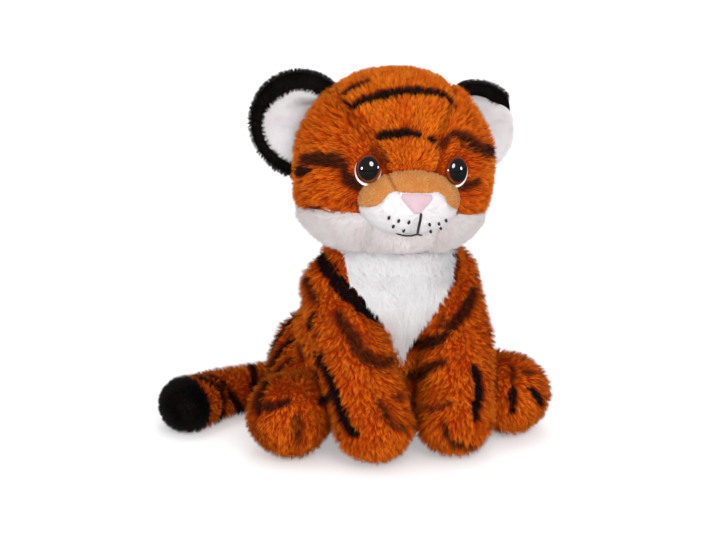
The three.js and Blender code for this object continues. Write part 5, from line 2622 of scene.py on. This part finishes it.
    def lining_profile(self) -> list[tuple[Array | float, Array | float]]:
        """The profile from the middle of the lining's back over its edge to the middle of its front."""
        angle = turns(self.columns)
        reach = self.lined_to(angle) - 0.3 + 0.6 * self.bare(angle)
        under = [(s * reach, self.dish_at(s * reach) - self.lining + 0.5) for s in (0, 0.25, 0.5, 0.75, 0.95)]
        rim = [(reach, self.dish_at(reach) - 1.4), (reach * 0.985, self.dish_at(reach) - 0.8)]
        front = [(s * reach, self.dish_at(s * reach) - 0.7) for s in (0.92, 0.75, 0.5, 0.25, 0)]
        return under + rim + front

    def local(self, points: Array) -> Array:
        """Places in the toy's frame, taken to the ear's."""
        return (HEAD.into(points) - self.middle) @ self.axes.T

    def shorten(self, points: Array) -> Array:
        """The pile is shorter where the lining reaches the edge."""
        local = self.local(points)
        return 1 - 0.8 * smooth(0.0, 0.5, self.bare(np.arctan2(-local[:, 2], local[:, 0])))

    def build(self, dresser: Dresser, rng: np.random.Generator) -> None:
        """Makes the ear's back and its lining.

        Args:
            dresser: turns skins into pieces.
            rng: the random draws.
        """
        halves = np.array([HEAD.half_width, HEAD.half_depth, HEAD.crown])
        root = HEAD.out((self.middle / np.linalg.norm(self.middle / halves))[None])[0]
        centre = HEAD.out(self.middle[None])[0]
        facing = self.axes[1] @ HEAD.turn.T
        end = root + unit(centre - root) * 12
        ends = tuple(float(c) * METRES for c in root), tuple(float(c) * METRES for c in end)

        def comb(points: Array, normals: Array) -> Array:
            """The pile lies away from the ear's root, and over the lining's edge on the front of the rim."""
            return unit(points - root) - unit(points - centre) * 1.7 * (normals @ facing > 0.25)[:, None]

        def keep(points: Array, normals: Array) -> Array:
            """Outside the head and the lining's recess.

            Args:
                points: places in mm, one row each.
                normals: their normals.

            Returns:
                One value for each place.
            """
            local = self.local(points)
            turn = np.arctan2(-local[:, 2] / self.stretch, local[:, 0])
            out = np.hypot(local[:, 0], local[:, 2] / self.stretch)
            lined = ((normals @ facing) > 0.1) & (out < self.lined_to(turn) + 0.4)
            return ~lined & ~HEAD.inside(HEAD.into(points), -2.0)

        def in_front(points: Array, normals: Array) -> Array:
            """On the front, outside the head."""
            return ((normals @ facing) > 0.1) & ~HEAD.inside(HEAD.into(points), -2.0)

        skin = closed_skin(self.rings(self.back_profile(), self.rows))
        coat = grown(skin, self.coat, comb, keep, rng, self.shorten)
        piece = dresser.piece(f"ear_back_plush_{self.name}", skin, coat, BLACK, rng, 71, marked=False)
        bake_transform(piece)
        declare("black_plush", (f"ear_back_{self.name}",))
        skin = closed_skin(self.rings(self.lining_profile(), self.lining_rows))
        coat = grown(skin, self.shorn, comb, in_front, rng)
        name = f"ear_lining_velour_{self.name}"
        piece = dresser.piece(name, skin, coat, SHORN_WHITE, rng, 72, marked=False)
        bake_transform(piece)
        declare("smooth_pile", (f"ear_lining_{self.name}",))


# ---------------------------------------------------------------------------------------------------------
# Studio


@dataclass(frozen=True)
class Lamp:
    """A round soft light that faces the toy's middle, seen in gloss or not; in metres and watts."""

    name: str
    place: Triple
    size: float
    power: float
    glossy: bool = True

    def build(self) -> None:
        """Makes the light."""
        data = bpy.data.lights.new(self.name, "AREA")
        data.shape, data.size, data.energy = "DISK", self.size, self.power
        lamp = bpy.data.objects.new(self.name, data)
        lamp.location = self.place
        lamp.rotation_euler = (Vector((0, 0, 0.12)) - Vector(self.place)).to_track_quat("-Z", "Y").to_euler()
        lamp.visible_glossy = self.glossy
        bpy.context.scene.collection.objects.link(lamp)


@dataclass
class Studio:
    """A pale floor, soft lights and a pale world.

    glow is how brightly the floor glows to the camera alone, near the toy and away from it, over the
    distances glow_reach in metres; world and world_gloss are the world's strengths in diffuse light and in
    gloss.
    """

    floor_half: float = 6.0
    glow: tuple[float, float] = (0.34, 0.9)
    glow_reach: tuple[float, float] = (0.2, 1.6)
    world: float = 0.62
    world_gloss: float = 0.1
    lamps: tuple[Lamp, ...] = (
        Lamp("key_light", (-0.12, -1.3, 1.05), 0.75, 6.8),
        Lamp("left_light", (-1.4, -0.5, 0.35), 0.3, 3.0),
        Lamp("right_light", (1.3, -0.9, 0.35), 0.3, 3.0),
        Lamp("front_light", (-0.4, -1.4, 0.16), 0.9, 10.0, False),
        Lamp("top_light", (0.1, 0.2, 1.5), 0.9, 4.0, False),
    )

    def paper(self) -> bpy.types.Material:
        """The floor's material: faintly clouded white paper, dark in gloss."""
        material, tree, shader = new_material("white_paper_floor")
        place = object_place(tree)
        tint = ramp(tree, noise(tree, place, 500.0), ((0.3, "#F1F1F1"), (0.7, "#F4F4F4")))
        rays = add_node(tree, "ShaderNodeLightPath").outputs
        colour = mixed(tree, rays["Is Glossy Ray"], tint, "#3A3A3A")
        dress(tree, shader, {"Base Color": colour}, {"Roughness": 0.9})
        away = add_node(tree, "ShaderNodeVectorMath", {"operation": "LENGTH"}, {0: place}).outputs["Value"]
        more = ranged(tree, away, self.glow, self.glow_reach)
        camera = rays["Is Camera Ray"]
        lift = add_node(tree, "ShaderNodeMath", {"operation": "MULTIPLY"}, {0: camera, 1: more})
        glow = add_node(tree, "ShaderNodeEmission", {"Color": (1, 1, 1, 1)}, {"Strength": lift.outputs[0]})
        both = add_node(tree, "ShaderNodeAddShader", {}, {0: shader.outputs[0], 1: glow.outputs[0]})
        tree.links.new(both.outputs[0], tree.nodes["Material Output"].inputs["Surface"])
        return material

    def build_floor(self) -> None:
        """Makes the floor."""
        half = self.floor_half
        mesh = bpy.data.meshes.new("floor")
        corners = [(-half, -half, 0), (half, -half, 0), (half, half, 0), (-half, half, 0)]
        mesh.from_pydata(corners, [], [(0, 1, 2, 3)])
        mesh.materials.append(self.paper())
        floor = bpy.data.objects.new("floor", mesh)
        bpy.context.scene.collection.objects.link(floor)

    def build_world(self) -> None:
        """Makes the world, which is white to the camera, paler in diffuse light and darker still in gloss."""
        world = bpy.data.worlds.new("studio")
        bpy.context.scene.world = world
        world.use_nodes = True
        tree = world.node_tree
        rays = add_node(tree, "ShaderNodeLightPath").outputs
        seen = {0: rays["Is Camera Ray"], 1: rays["Is Transmission Ray"]}
        direct = add_node(tree, "ShaderNodeMath", {"operation": "MAXIMUM"}, seen)
        dim = ranged(tree, rays["Is Glossy Ray"], (self.world, self.world_gloss))
        level = add_node(tree, "ShaderNodeMix", {3: 1.0}, {0: direct.outputs[0], 2: dim})
        background = tree.nodes["Background"]
        tree.links.new(level.outputs[0], background.inputs["Strength"])
        background.inputs["Color"].default_value = (1, 1, 1, 1)

    def build(self) -> None:
        """Makes the floor, the lights and the world."""
        self.build_floor()
        for lamp in self.lamps:
            lamp.build()
        self.build_world()


def main() -> None:
    """Builds the tiger's pieces in order, then the studio."""
    logging.basicConfig(level=logging.INFO, format="%(message)s")
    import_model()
    VIEW.camera()
    rng = np.random.default_rng(7)
    dresser = Dresser(stripe_map())
    log.info("stripes laid out")
    Body().build(dresser, rng)
    for limb in legs():
        limb.build(dresser, rng)
    Tail().build(dresser, rng)
    Face().build(dresser, rng)
    for side, name in SIDES:
        Ear(side, name).build(dresser, rng)
    for _, name in SIDES:
        washer = bpy.data.objects[f"eye_washer_{name}"]
        washer.data.materials.clear()
        washer.data.materials.append(dresser.material(WASHER))
    Studio().build()
    bpy.context.scene.view_settings.view_transform = "Standard"


if __name__ == "__main__":
    main()
